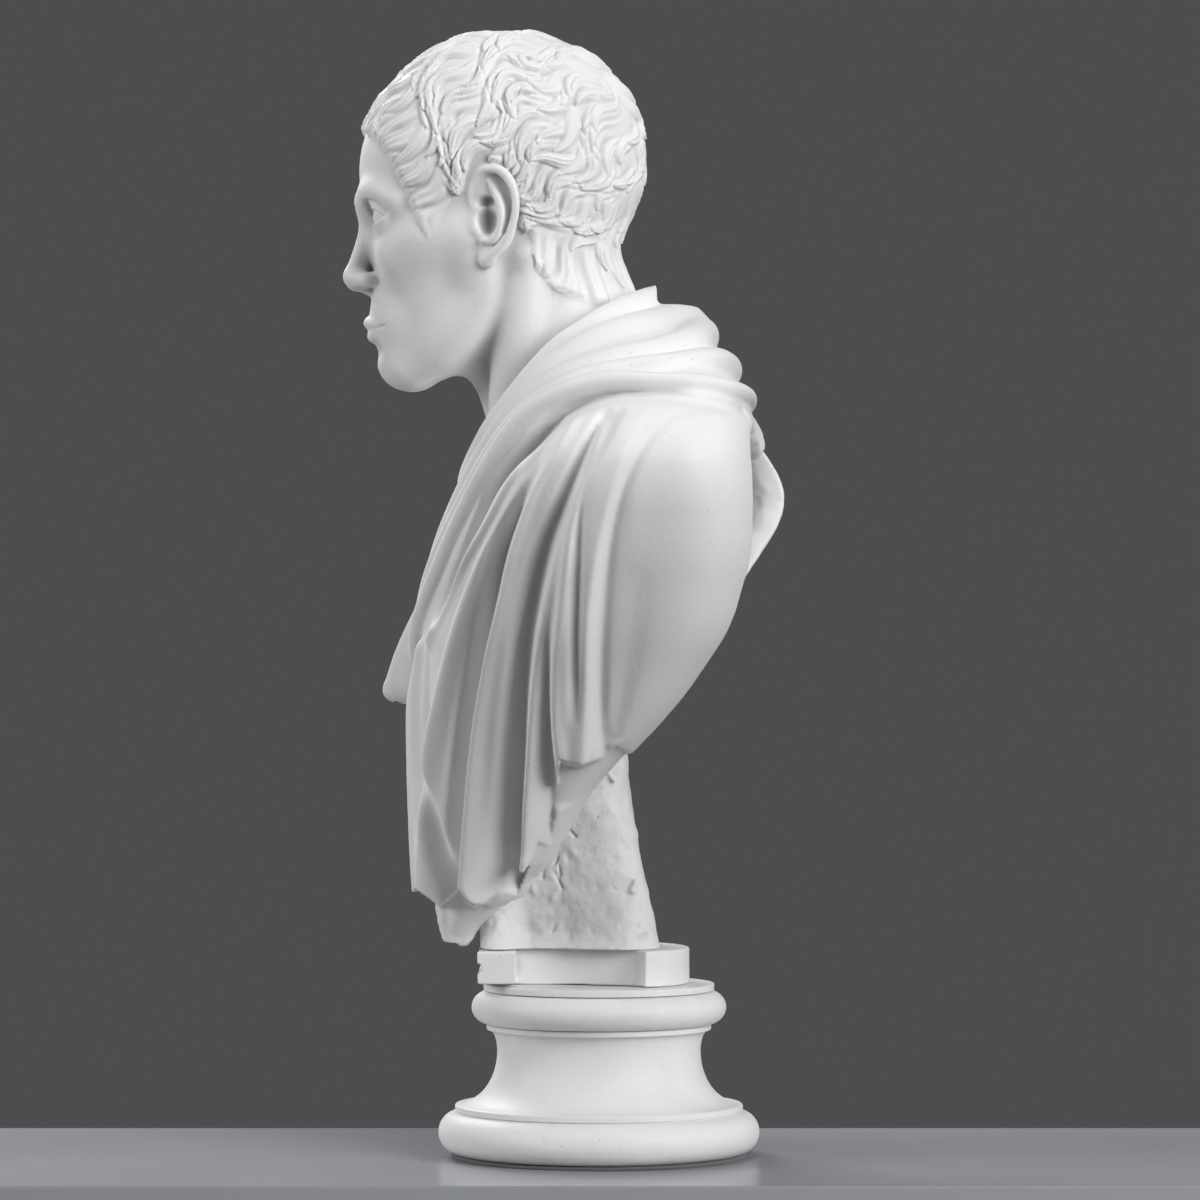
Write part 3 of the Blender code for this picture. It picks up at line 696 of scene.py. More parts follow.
# Where the raised cloth ends above the rim: Y and height, in millimetres, for each side
LEFT_HEM = ((-135, 168), (-120, 178), (-104, 168), (-92, 180), (-80, 166), (-66, 180), (-54, 176),
            (-40, 212), (-32, 210), (-25, 266), (-12, 262), (3, 268), (10, 276), (30, 262), (120, 330))
RIGHT_HEM = ((-135, 168), (-122, 174), (-108, 184), (-92, 170), (-78, 188), (-64, 180), (-50, 212),
             (-38, 204), (-24, 240), (-10, 234), (6, 256), (30, 262), (120, 330))


def read_table(table, z):
    """The other columns of a table of sections, at heights z."""
    return [np.interp(z, table[:, 0], column) for column in table.T[1:]]


def smooth_section(z):
    """The drape's section at heights z, read with the table's corners rounded off."""
    offsets = np.linspace(-14, 14, 9) * MM
    sections = [read_table(DRAPE_SECTIONS, z + d) for d in offsets]
    return [np.mean(values, axis=0) for values in zip(*sections)]


def on_side(points, side=1):
    """Points on the bare drape's left side (or right) from their Y and height in millimetres."""
    placed = []
    for y, z in mm(points):
        front, back, half, middle = smooth_section(np.array(z))
        reach = (front - middle) if y < middle else (back - middle)
        power = SQUARENESS if y < middle else BACK_SQUARENESS
        v = min(abs((y - middle) / reach), 1.0)
        placed.append((side * half * (1 - v ** power) ** (1 / power), y, z))
    return np.array(placed)


def on_front(points):
    """Points on the bare drape's front from their X and height in millimetres."""
    placed = []
    for x, z in mm(points):
        front, _, half, middle = smooth_section(np.array(z))
        w = min(abs(x / half), 1.0)
        placed.append((x, middle + (front - middle) * (1 - w ** SQUARENESS) ** (1 / SQUARENESS), z))
    return np.array(placed)


def drape_radial(x, y, z, inset=0.0):
    """1 on the bare drape's surface, less inside it and more outside."""
    front, back, half, middle = smooth_section(z)
    level = y - middle
    shoulder = np.exp(-((z - 0.44) / 0.046) ** 2)
    back = back + RIGHT_SHOULDER_BACK * np.clip(-x / 0.12, 0, 1) * shoulder
    w = np.abs(x) / (half - inset)
    ahead = (np.maximum(-level, 0) / (middle - front - inset)) ** SQUARENESS + w ** SQUARENESS
    behind = (np.maximum(level, 0) / (back - middle - inset)) ** BACK_SQUARENESS + w ** BACK_SQUARENESS
    return np.where(level < 0, ahead ** (1 / SQUARENESS), behind ** (1 / BACK_SQUARENESS))


def drape_distance(clay, inset=0.0):
    """Distance from the bare drape, made smaller all round by inset."""
    x, y, z = clay.axes
    z3 = z[None, None, :]
    radial = drape_radial(x[:, None, None], y[None, :, None], z3, inset).astype(np.float32)
    slope = np.zeros_like(radial)
    for axis in range(3):
        slope += np.gradient(radial, clay.step, axis=axis) ** 2
    distance = np.clip((radial - 1) / np.maximum(np.sqrt(slope), 2.0), -FAR, FAR)
    return smooth_max(distance, z3 - DRAPE_TOP + inset, 10 * MM).astype(np.float32)


def settle(points, heights):
    """Moves points to stand at the given heights over the bare drape."""
    p = points.copy()
    tiny = 0.5 * MM
    for _ in range(4):
        here = drape_radial(*p.T)
        slope = np.stack([
            (drape_radial(*(p + tiny * axis).T) - drape_radial(*(p - tiny * axis).T)) / (2 * tiny)
            for axis in np.eye(3)
        ], axis=-1)
        steep = (slope ** 2).sum(axis=-1)
        distance = (here - 1) / np.sqrt(steep)
        p += slope / np.sqrt(steep)[:, None] * (heights - distance)[:, None]
    return p


class Relief:
    """Heights of cloth folds round their paths, kept on the clay's grid."""

    def __init__(self, clay):
        self.clay = clay
        self.raised = np.zeros_like(clay.field)
        self.sunk = np.zeros_like(clay.field)

    def fold(self, points, widths, heights, shape=2.0, lean=0.0, detail=8):
        """A ridge (or a groove, where heights are negative) along a path down the cloth.

        shape 1 is a sharp crest, 2 a round one, 4 a flat one. lean, from -1 to 1, makes the side
        towards the back of the left shoulder steeper.
        """
        path = smooth_path(points, detail)
        width = spread(mm(widths), len(path))
        height = spread(mm(heights), len(path))
        height = height * np.where(height > 0, FOLD_RISE, FOLD_SINK)
        reach = max(width.max() * (1 + abs(lean)), FOLD_LIMIT) + 2 * self.clay.step
        slices = self.clay.around(path, reach)
        best = np.full([s.stop - s.start for s in slices], 9.0, np.float32)
        rise = np.zeros_like(best)
        middle = np.array((0.0, 0.02, 0.0))
        for i in range(len(path) - 1):
            a, b = path[i], path[i + 1]
            along = b - a
            outward = (a - middle) * (1, 1, 0)
            across = np.cross(outward, along)
            across /= max(np.linalg.norm(across), 1e-9)
            normal = np.cross(along, across)
            normal /= max(np.linalg.norm(normal), 1e-9)
            near = max(max(width[i], width[i + 1]) * (1 + abs(lean)) + self.clay.step, FOLD_LIMIT)
            inner, t, (x, y, z) = self.clay.beside(slices, a, b, near)
            above = x * normal[0] + y * normal[1] + z * normal[2]
            gap = np.sqrt(np.maximum(x * x + y * y + z * z - above * above, 0.0))
            side = (x * across[0] + y * across[1] + z * across[2]) / np.maximum(gap, 1e-6)
            girth = (width[i] + (width[i + 1] - width[i]) * t) * (1 - lean * side)
            s = np.clip(np.sqrt(gap * gap + (0.5 * self.clay.step) ** 2) / girth, 0, 1)
            local = (height[i] + (height[i + 1] - height[i]) * t) * (1 - s ** shape) ** 2
            closer = gap < best[inner]
            best[inner] = np.where(closer, gap, best[inner])
            rise[inner] = np.where(closer, local, rise[inner])
        self.raised[slices] += np.maximum(rise, 0)
        self.sunk[slices] += np.minimum(rise, 0)


# Folds as (path in millimetres, half widths, heights, shape, lean), as Relief.fold takes them.
# The left ones hang gathered from the band over the left shoulder.
LEFT_FOLDS = (
    # the narrow groove between the bare shoulder and the first fold
    (((80, 494), (56, 489), (42, 482), (33, 472), (26, 462), (18, 447), (11, 430), (6, 401), (3, 366),
      (1, 328), (1, 289), (4, 262)), (4, 4, 4, 4, 4, 4, 4, 4, 4, 4.5, 5, 6),
     (-1, -1.5, -2, -2.6, -2.8, -2.8, -2.6, -2.4, -2.4, -2.6, -3, -4), 1.2, -0.35),
    # a shallow side groove that runs out over the shoulder's hollow
    (((24, 398), (24, 370), (20, 337), (14, 306), (8, 280)), (9, 12, 12, 9, 7),
     (0, -0.6, -0.9, -1.2, -1.5), 1.8, 0.0),
    # the first fold is a box between two ridges
    (((16, 484), (7, 462), (-5, 430), (-11, 394), (-15, 356), (-17, 318), (-17, 290), (-13, 255)),
     (9, 11, 13, 14, 14, 14, 15, 16), (1, 2.5, 3, 4, 4, 4, 5, 8), 3.0, 0.0),
    (((27, 484), (14, 455), (5, 424), (-1, 394), (-5, 356), (-6, 318), (-6, 290), (-5, 255)),
     (6, 7, 7, 7, 7, 7, 8, 10), (2, 3, 4, 4, 4, 4, 4, 3), 1.4, 0.3),
    (((13, 488), (3, 468), (-6, 450), (-12, 420), (-13, 394), (-14, 356), (-14, 318), (-14, 296)),
     (4, 5, 5, 5.5, 5.5, 6, 6, 5), (-3, -4, -4, -4, -4, -4, -3.5, -1), 1.6, 0.0),
    (((2, 480), (-7, 452), (-15, 425), (-21, 394), (-25, 356), (-28, 328), (-28, 299), (-26, 280),
      (-22, 258)), (5, 5.5, 5.5, 5.5, 5.5, 5.5, 6, 7, 9), (3, 4.5, 5, 5, 5, 5, 5, 5, 3), 1.1, -0.3),
    # soft ridge in front of the box fold, ending in the second hem fold
    (((-33, 392), (-38, 356), (-42, 312), (-44, 267), (-46, 225), (-44, 200)), (7, 8, 9, 10, 12, 13),
     (0, 1.5, 3, 5, 7, 9), 1.8, 0.0),
    (((-31, 372), (-33, 335), (-34, 300), (-34, 270), (-34, 240), (-33, 212)), (5, 6, 6, 6.5, 7, 7),
     (0, -2, -3, -4, -5, -4), 1.6, 0.0),
    # the deep valley
    (((4, 486), (-11, 462), (-26, 430), (-38, 402), (-48, 364), (-55, 318), (-60, 260), (-62, 208),
      (-64, 182)), (6, 8, 10, 11, 12, 12, 13, 12, 11), (-4, -7, -9, -11, -12, -12, -12, -12, -10), 2.2,
     -0.35),
    (((-13, 486), (-26, 462), (-42, 432), (-52, 402), (-61, 364), (-70, 326), (-77, 283), (-80, 240),
      (-81, 200), (-78, 168)), (5, 6, 7, 8, 8, 8, 9, 10, 11, 13), (3, 5, 6, 7, 7, 7, 7, 8, 9, 9), 1.15,
     -0.1),
    # the front valley
    (((-24, 482), (-36, 460), (-51, 428), (-62, 400), (-72, 356), (-81, 308), (-87, 269), (-91, 230),
      (-92, 206), (-91, 172)), (5, 7, 8, 9, 9, 10, 10, 11, 11, 9),
     (-4, -7, -9, -11, -12, -13, -14, -14, -14, -11), 2.0, 0.3),
    (((-22, 484), (-33, 464), (-48, 440), (-62, 414), (-77, 382), (-90, 344), (-100, 305), (-107, 265),
      (-110, 226), (-108, 172)), (5, 6, 8, 9, 11, 13, 15, 16, 16, 16), (2, 4, 6, 7, 7, 7, 7, 8, 8, 9),
     1.5, 0.0),
    # the pit under the band and the slanting ridge that ends in a corner on the chest
    (((-34, 478), (-44, 470), (-56, 458), (-67, 444), (-76, 424), (-86, 402), (-97, 377), (-105, 356)),
     (6, 8, 9, 9, 8, 8, 9, 7), (-6, -10, -11, -10, -9, -8, -7, -3), 1.8, -0.2),
    (((-48, 460), (-58, 440), (-72, 413), (-88, 386), (-100, 362), (-109, 342)), (6, 7, 8, 8, 9, 10),
     (3, 5, 6, 6, 6, 4), 1.1, 0.3),
)
# The left folds' foremost ridge, where it turns down the front
CORNER_FALL = (
    (((50, 338), (44, 318), (37, 288), (31, 250), (35, 208), (28, 172)), (9, 11, 13, 14, 14, 13),
     (4, 5, 5, 5, 6, 6), 1.8, 0.0),
)
RIPPLES = (
    (((38, 470), (24, 440), (20, 410)), 0.5),
    (((-90, 330), (-99, 285), (-103, 240), (-103, 200)), 0.7),
    (((-56, 340), (-64, 290), (-69, 240), (-70, 200)), 0.6),
    (((-38, 440), (-46, 402), (-56, 350)), 0.6),
    (((-8, 402), (-10, 340), (-9, 292)), 0.6),
    (((-98, 300), (-113, 250), (-114, 205)), 0.6),
)
# Folds down the middle of the chest, below the slanting band
FRONT_FOLDS = (
    (((74, 330), (70, 290), (64, 240), (59, 195), (54, 160)), (8, 10, 11, 10, 9), (-2, -6, -7, -7, -6),
     1.6, 0.0),
    (((18, 340), (14, 300), (16, 250), (18, 205), (17, 175)), (12, 14, 13, 12, 11),
     (-2, -9, -11, -10, -8), 1.8, 0.2),
    (((-4, 335), (-8, 300), (-6, 250), (-3, 205), (-4, 170)), (10, 12, 13, 13, 13), (3, 7, 8, 8, 8),
     1.4, -0.2),
    (((-22, 320), (-30, 290), (-29, 245), (-24, 200), (-23, 175)), (10, 13, 14, 13, 12),
     (-3, -10, -11, -10, -8), 1.8, 0.0),
    (((-44, 300), (-50, 268), (-48, 230), (-42, 190), (-39, 166)), (12, 13, 13, 12, 11),
     (5, 7, 8, 8, 8), 1.4, 0.2),
    (((-66, 300), (-72, 262), (-66, 222), (-58, 190)), (9, 11, 11, 9), (-3, -7, -8, -6), 1.6, 0.0),
)
# Folds that hang from the right shoulder, freer than those on the left
RIGHT_FOLDS = (
    (((70, 492), (50, 486), (34, 470), (24, 446), (18, 416), (16, 376), (18, 330), (20, 285)),
     (7, 8, 9, 9, 8, 8, 8, 8), (-1, -4, -6, -7, -7, -6, -6, -6), 1.4, 0.0),
    (((24, 484), (14, 456), (6, 420), (2, 380), (2, 335), (4, 290), (4, 255)),
     (8, 10, 11, 12, 12, 12, 13), (3, 6, 7, 8, 8, 8, 9), 2.2, 0.2),
    (((6, 480), (-4, 450), (-12, 414), (-15, 372), (-14, 326), (-12, 282), (-12, 245)),
     (6, 8, 9, 10, 10, 10, 9), (-4, -8, -9, -10, -10, -10, -8), 1.6, 0.0),
    (((-6, 482), (-18, 450), (-28, 412), (-32, 370), (-32, 322), (-30, 276), (-28, 236)),
     (6, 7, 8, 8, 9, 9, 10), (3, 5, 6, 7, 7, 7, 8), 1.3, -0.2),
    (((-18, 480), (-32, 446), (-44, 408), (-50, 364), (-50, 316), (-48, 266), (-46, 214)),
     (7, 9, 11, 13, 14, 14, 12), (-4, -8, -11, -12, -12, -12, -10), 1.7, 0.2),
    (((-30, 478), (-46, 444), (-60, 404), (-68, 360), (-68, 312), (-64, 262), (-62, 205)),
     (6, 8, 9, 10, 10, 10, 12), (3, 6, 7, 8, 8, 8, 9), 1.4, 0.1),
    (((-44, 470), (-60, 438), (-74, 400), (-84, 356), (-86, 306), (-82, 256), (-78, 200)),
     (6, 9, 11, 12, 13, 13, 12), (-4, -8, -11, -12, -12, -11, -9), 1.6, 0.0),
    (((-74, 420), (-88, 385), (-99, 345), (-102, 300), (-100, 250), (-96, 190)),
     (8, 10, 12, 13, 14, 14), (3, 6, 7, 8, 8, 8), 1.8, 0.2),
)


def lay_folds(relief, folds, place, *side):
    for path, widths, heights, shape, lean in folds:
        relief.fold(place(path, *side), widths, heights, shape, lean)


def hanging_folds(relief):
    lay_folds(relief, LEFT_FOLDS, on_side)
    lay_folds(relief, CORNER_FALL, on_front)
    for path, height in RIPPLES:
        heights = [0.2] + [height] * (len(path) - 2) + [0.2]
        relief.fold(on_side(path), [4.5] * len(path), heights, 1.3)
    lay_folds(relief, FRONT_FOLDS, on_front)
    lay_folds(relief, RIGHT_FOLDS, on_side, -1)


def under_folds(relief):
    """Small pleats of the layer that shows below the hem."""
    for x, low_x in ((-40, -27), (-27, -19), (-13, -9), (1, 1), (14, 10), (27, 19), (40, 27)):
        relief.fold(on_front([(x, 205), (0.85 * x + 0.15 * low_x, 180), (low_x, 156), (low_x, 140)]),
                    (6, 6, 5.5, 5), (2.5, 3, 3, 2.5), 1.3, 0.3)
    for y, low_y in ((-92, -94), (-74, -82), (-58, -68), (-42, -56), (-26, -42)):
        for side in SIDES:
            relief.fold(on_side([(y, 232), (0.5 * (y + low_y), 200), (low_y, 170)], side),
                        (7, 7, 6), (2, 2.5, 2.5), 1.3, 0.2)


LOBE_TOP = 0.392
LOBE_HEM = 0.297
LOBE_DEPTH = 31 * MM  # how far the pouch stands out from the chest
LOBE_PLEAT = 4.0 * MM


def chest_lobe(clay):
    """The end of the band, falling in a soft pouch of pleats from the right of the chest."""
    slices, (x, y, z) = clay.window(mm((-150, -166, 282)), mm((40, -50, 410)))
    fall = np.clip((LOBE_TOP - z) / (LOBE_TOP - LOBE_HEM), 0, 1.3)
    across = (x + 0.028 + 0.048 * fall) / (0.026 + 0.021 * fall)  # -1 to 1 over its width
    front, _, half, middle = (v[None, None, :] for v in smooth_section(z[0, 0]))
    w = np.clip(np.abs(x) / half, 0, 1)
    chest = middle + (front - middle) * (1 - w ** SQUARENESS) ** (1 / SQUARENESS)
    body = np.clip(1 - np.abs(across) ** 2.6, 0, 1) ** 0.6
    pleat = np.cos(math.tau * (1.35 * across + 0.12 + 0.25 * fall))
    belly = np.where(fall < 0.8, fall, 0.8 + 0.2 * np.sin((fall - 0.8) * math.pi / 0.4))
    pleats = LOBE_PLEAT * np.minimum(fall * 1.6, 1) * pleat
    height = body * (LOBE_DEPTH * np.maximum(belly, 0) + pleats)
    sink = 18 * MM * (1 - body * np.clip(5 * fall, 0, 1)) ** 2
    hem = LOBE_HEM + 2.5 * MM * np.sin(1.9 * across + 0.6) - 1.5 * MM * pleat
    cloth = smooth_max((chest + sink - height - y) * 0.75, hem - z, 17 * MM)
    clay.add(slices, cloth.astype(np.float32), 4 * MM)
    under = smooth_max((chest + sink - height + 11 * MM - y) * 0.75, (y - chest + 12 * MM) * 0.75, 3 * MM)
    under = smooth_max(under, np.abs(z - hem - 1 * MM) - 10 * MM, 5 * MM)
    clay.cut(slices, (under + 0 * cloth).astype(np.float32), 1.5 * MM)


def hem_hollows(clay):
    """Hollows under the ends of the folds, so that the hem reads as cloth."""
    left = ((-79, 164), (-107, 164))
    right = ((-28, 222), (-62, 192), (-96, 176))
    ends = np.vstack([on_side(left), on_side(right, -1), on_front([(33, 162), (-4, 160), (-40, 156)])])
    for end in ends:
        outward = (end - (0.0, -0.06, 0.0)) * (1, 1, 0)
        outward /= np.linalg.norm(outward)
        clay.ellipsoid(end + outward * 8 * MM, mm((7, 7, 9)), 1.5 * MM, cut=True)


# Rolls of the band on the left, from the back round the neck to the chest, in millimetres
COLLAR_ROLL = ((0, 48, 563), (26, 43, 563), (50, 31, 560), (66, 10, 552), (73, -10, 541), (73, -26, 531),
               (70, -42, 515), (61, -56, 498), (44, -66, 485), (22, -72, 478), (0, -73, 476))
COLLAR_RADII = (14, 14, 13, 11.5, 10, 9, 8.5, 8, 8, 8, 8)
BAND_ROLLS = (
    (((0, 60, 550), (50, 52, 550), (94, 31, 543), (106, 2, 537), (106, -24, 522), (98, -44, 504),
      (82, -60, 485), (56, -73, 468), (24, -82, 454), (0, -85, 449)),
     (13, 13, 13, 12, 11, 10, 10, 9, 9, 9)),
    (((0, 68, 543), (60, 66, 542), (114, 56, 530), (138, 38, 526), (144, 13, 521), (141, -7, 514),
      (133, -26, 503), (122, -44, 487), (106, -61, 466), (84, -76, 444), (56, -88, 422), (22, -98, 402),
      (-14, -105, 386), (-44, -110, 372)),
     (12, 12, 11, 10, 9.5, 9, 9, 9, 9, 9, 9, 9, 10, 10)),
    (((0, 86, 520), (70, 82, 520), (128, 68, 518), (158, 46, 515), (165, 17, 513), (162, -7, 507),
      (154, -27, 495), (142, -45, 478), (125, -62, 456), (102, -79, 431), (74, -93, 406), (40, -104, 385),
      (4, -111, 367), (-36, -116, 350)),
     (10, 10, 9, 8, 8, 8, 7.5, 7.5, 7.5, 7.5, 8, 8.5, 9, 9)),
    (((0, 99, 499), (96, 95, 500), (156, 82, 501), (182, 60, 503), (187, 36, 506), (184, 17, 507),
      (179, 0, 504), (172, -19, 497), (163, -39, 486), (152, -57, 469), (136, -74, 445), (114, -89, 417),
      (88, -101, 389), (52, -111, 366), (12, -117, 348), (-28, -121, 334)),
     (6, 6, 6, 6, 6, 6.5, 7, 7.5, 7.5, 7, 7, 7, 7, 7, 7.5, 8)),
)

ROLL_BLEND = mm((9, 5, 3.5, 2.2))
ROLL_SEAT = (0.45, 0.35, 0.15, -0.2)  # how deep each roll sits in the drape, as parts of its radius


def band(clay):
    """The rolled band of cloth round the neck, over both shoulders and across the chest."""
    collar = np.vstack([mirrored(COLLAR_ROLL, -1)[:0:-1], mirrored(COLLAR_ROLL, 1)])
    clay.stroke(collar, mm(COLLAR_RADII[:0:-1] + COLLAR_RADII), 6 * MM)
    for i, (points, radii) in enumerate(BAND_ROLLS):
        left = mirrored(points, 1)
        right = mirrored(points, -1)
        girth = mm(radii)
        right_girth = girth.copy()
        if i > 0:  # on the right only the first roll crosses the chest
            kept = sum(1 for x, _, _ in points if x >= 0)
            right[kept] = 0.7 * right[kept - 1] + 0.3 * right[kept]
            right_girth[kept] *= 0.6
            right, right_girth = right[:kept + 1], right_girth[:kept + 1]
        roll = np.vstack([right[:0:-1], left])
        girth = np.concatenate([right_girth[:0:-1], girth])
        # behind the neck the rolls lie on each other, not on the drape
        below_top = np.clip((DRAPE_TOP - 8 * MM - roll[:, 2:]) / (10 * MM), 0, 1)
        roll = roll + below_top * (settle(roll, -ROLL_SEAT[i] * girth) - roll)
        clay.stroke(roll, girth, ROLL_BLEND[i])


def band_creases(relief):
    """The deep shadow under the band's lowest roll."""
    left = [(94, 489), (63, 495), (38, 499), (13, 500), (-6, 496), (-22, 489), (-36, 480), (-50, 466),
            (-66, 446), (-79, 420), (-90, 392), (-100, 364), (-109, 340)]
    relief.fold(on_side(left), (5, 6, 7, 8, 9, 11, 12, 11, 9, 9, 9, 8, 7),
                (-3, -4, -5, -7, -9, -12, -12, -11, -8, -7, -5, -3, 0), 1.3, -0.3)
    right = [(94, 489), (63, 495), (38, 499), (13, 500), (-6, 496), (-24, 488), (-42, 470), (-60, 443),
             (-75, 414), (-88, 386), (-101, 356), (-112, 330)]
    relief.fold(on_side(right, -1), (5, 6, 7, 8, 9, 10, 10, 9, 9, 9, 8, 7),
                (-3, -4, -5, -6, -8, -9, -8, -7, -6, -5, -3, 0), 1.3, -0.3)


def hollow_back(clay, sunk):
    """Hollows the shell from behind, leaving its lips round the shoulders and stone behind the folds."""
    x, y, z = (axis.astype(np.float32) for axis in clay.axes)
    _, _, half, middle = (v.astype(np.float32) for v in smooth_section(z))
    lump = value_noise(clay, 14 * MM, 5) * 2.2 * MM + value_noise(clay, 5 * MM, 6) * 0.9 * MM
    ahead = np.clip((middle[None, None, :] + 0.012 - y[None, :, None]) / 0.05, 0, 1)
    inner = drape_distance(clay, inset=WALL) + lump + FRONT_WALL * ahead
    inner += np.minimum(-sunk, WALL_BEHIND_FOLDS)
    wide = np.maximum(half - 0.056, 0.74 * half)[None, None, :]
    gate = np.maximum(np.abs(x)[:, None, None] - wide, (middle - 0.012)[None, None, :] - y[None, :, None])
    gate = gate + 0.35 * lump
    room = soft_min(inner, gate, 8 * MM)
    over_column = 28 * MM * np.exp(-(x / 0.056) ** 4)[:, None, None]
    arch = HOLLOW_TOP - 0.6 * (0.095 - y[None, :, None]) - 0.5 * x[:, None, None] ** 2 - over_column
    room = smooth_max(room, z[None, None, :] - arch - lump, 16 * MM)
    room = smooth_max(room, HOLLOW_BOTTOM - z[None, None, :], 10 * MM)
    clay.field = smooth_max(clay.field, -room, 4 * MM).astype(np.float32)


def value_noise(clay, cell, seed):
    """Smooth random noise from -1 to 1 on the clay's grid, with lumps about one cell across."""
    rng = np.random.default_rng(seed)
    weights = []
    for axis in clay.axes:
        place = (axis - axis[0]) / cell
        low = place.astype(int)
        t = place - low
        t = ease(t)
        table = np.zeros((len(axis), low[-1] + 2), np.float32)
        table[np.arange(len(axis)), low] = 1 - t
        table[np.arange(len(axis)), low + 1] = t
        weights.append(table)
    lattice = rng.uniform(-1, 1, [table.shape[1] for table in weights]).astype(np.float32)
    spread_x = np.tensordot(weights[0], lattice, (1, 0))
    spread_y = np.tensordot(weights[1], spread_x, (1, 1)).transpose(1, 0, 2)
    return np.tensordot(spread_y, weights[2], (2, 1)).astype(np.float32)


def hem_mask(clay):
    """1 above the hem and 0 below it, with a quick change between."""
    x, y, z = clay.axes
    left = np.interp(y, *mm(LEFT_HEM).T)[None, :, None]
    right = np.interp(y, *mm(RIGHT_HEM).T)[None, :, None]
    hem = np.where(x[:, None, None] > 0, left, right)
    t = np.clip((z[None, None, :] - hem) / (3.5 * MM) + 0.5, 0, 1)
    return ease(t).astype(np.float32)


def make_shell():
    clay = Clay(mm((-250, -160, 128)), mm((250, 142, 592)), SHELL_STEP)
    clay.field = drape_distance(clay)
    relief = Relief(clay)
    hanging_folds(relief)
    band_creases(relief)
    mask = hem_mask(clay)
    raised = FOLD_LIMIT * np.tanh(box_blur(relief.raised, 1) / FOLD_LIMIT)
    sunk = FOLD_LIMIT * np.tanh(box_blur(relief.sunk, 1) / FOLD_LIMIT)
    ahead = np.clip((-0.050 - clay.axes[1]) / 0.030, 0, 1)[None, :, None]
    recess = RIM_LAYER + (UNDER_LAYER - RIM_LAYER) * ahead
    clay.field -= raised * mask + sunk * (0.15 + 0.85 * mask) - recess * (1 - mask)
    under = Relief(clay)  # the layer that shows below the hem
    under_folds(under)
    clay.field -= (under.raised + under.sunk) * (1 - mask)
    hem_hollows(clay)
    chest_lobe(clay)
    band(clay)
    unhollowed = clay.field.copy()
    shade = clay.crevices()
    hollow_back(clay, sunk)
    neck_room(clay)
    z = clay.axes[2][None, None, :]
    clay.cut((slice(None),) * 3, (z - SHELL_FOOT).astype(np.float32) + 0 * clay.field, 3 * MM)
    # painted crevice shade lies on the outside as if the stone were solid, and more faintly in the hollow
    outer = np.clip((unhollowed + 7 * MM) / (5 * MM), 0, 1)
    clay.shade = outer * shade + (1 - outer) * 0.5 * clay.crevices()
    shell = clay.cast("draped_marble")
    finish_piece(shell, "draped_shell", MARBLE)


def neck_room(clay):
    """The socket that the neck sits in, just clear of it."""
    turn = np.array(HEAD_PLACE)
    path = mm(NECK_PATH) @ turn[:3, :3].T + turn[:3, 3]
    clay.stroke(path, mm([radius + NECK_GAP for radius in NECK_RADII]), 0.5 * MM, cut=True)


# ---------------------------------------------------------------- support column

# height, back Y, half width of the ridge, front Y, half width in front, half width of the waist
COLUMN_SECTIONS = np.array((
    (0.1393, 0.0385, 0.040, -0.078, 0.044, 0.022),
    (0.150, 0.0370, 0.037, -0.078, 0.040, 0.021),
    (0.170, 0.0335, 0.035, -0.080, 0.032, 0.023),
    (0.205, 0.0260, 0.033, -0.082, 0.030, 0.025),
    (0.250, 0.0190, 0.032, -0.086, 0.034, 0.028),
    (0.300, 0.0170, 0.033, -0.092, 0.038, 0.032),
    (0.360, 0.0220, 0.037, -0.090, 0.042, 0.037),
    (0.410, 0.0330, 0.043, -0.076, 0.046, 0.042),
    (0.450, 0.0420, 0.048, -0.064, 0.048, 0.046),
))
COLUMN_FOOT = 0.1391
COLUMN_HEAD = 0.452
TOOL_STROKES = 110
TOOL_PITS = 60


def make_column():
    clay = Clay(mm((-58, -100, 134)), mm((58, 54, 458)), COLUMN_STEP)
    x, y, z = (axis.astype(np.float32) for axis in clay.axes)
    sections = read_table(COLUMN_SECTIONS, z)
    back, ridge, front, front_half, waist = (values[None, None, :] for values in sections)
    y3 = y[None, :, None]
    foot = 6 * MM * np.exp(-(z - 0.1393) / (6 * MM))[None, None, :]
    belly = np.clip((y3 - front - 0.030) / (back - 0.4 * ridge - front - 0.030), 0, 1)
    half = waist + (ridge - waist) * ease(belly)
    prow = np.clip((front + 0.034 - y3) / 0.030, 0, 1)
    half = half + (front_half - waist) * prow * prow * (3 - 2 * prow)
    sides = np.abs(x)[:, None, None] - half - 0.8 * foot
    ends = np.maximum(y3 - back - 0.3 * foot, front - y3) + 0 * sides
    clay.field = -soft_min(-sides, -ends, 26 * MM).astype(np.float32)
    clay.field += value_noise(clay, 26 * MM, 11) * 1.3 * MM
    clay.field += value_noise(clay, 9 * MM, 12) * 0.75 * MM
    clay.field += np.maximum(value_noise(clay, 5 * MM, 13), 0) * 0.7 * MM
    clay.field += value_noise(clay, 2.4 * MM, 14) * 0.16 * MM
    tool_marks(clay)
    everywhere = (slice(None),) * 3
    z3 = z[None, None, :] + 0 * clay.field
    clay.cut(everywhere, z3 - COLUMN_FOOT, 0.6 * MM)
    clay.cut(everywhere, COLUMN_HEAD - z3, 2 * MM)
    column = clay.cast("tooled_column")
    finish_piece(column, "support_column", TOOLED_MARBLE)


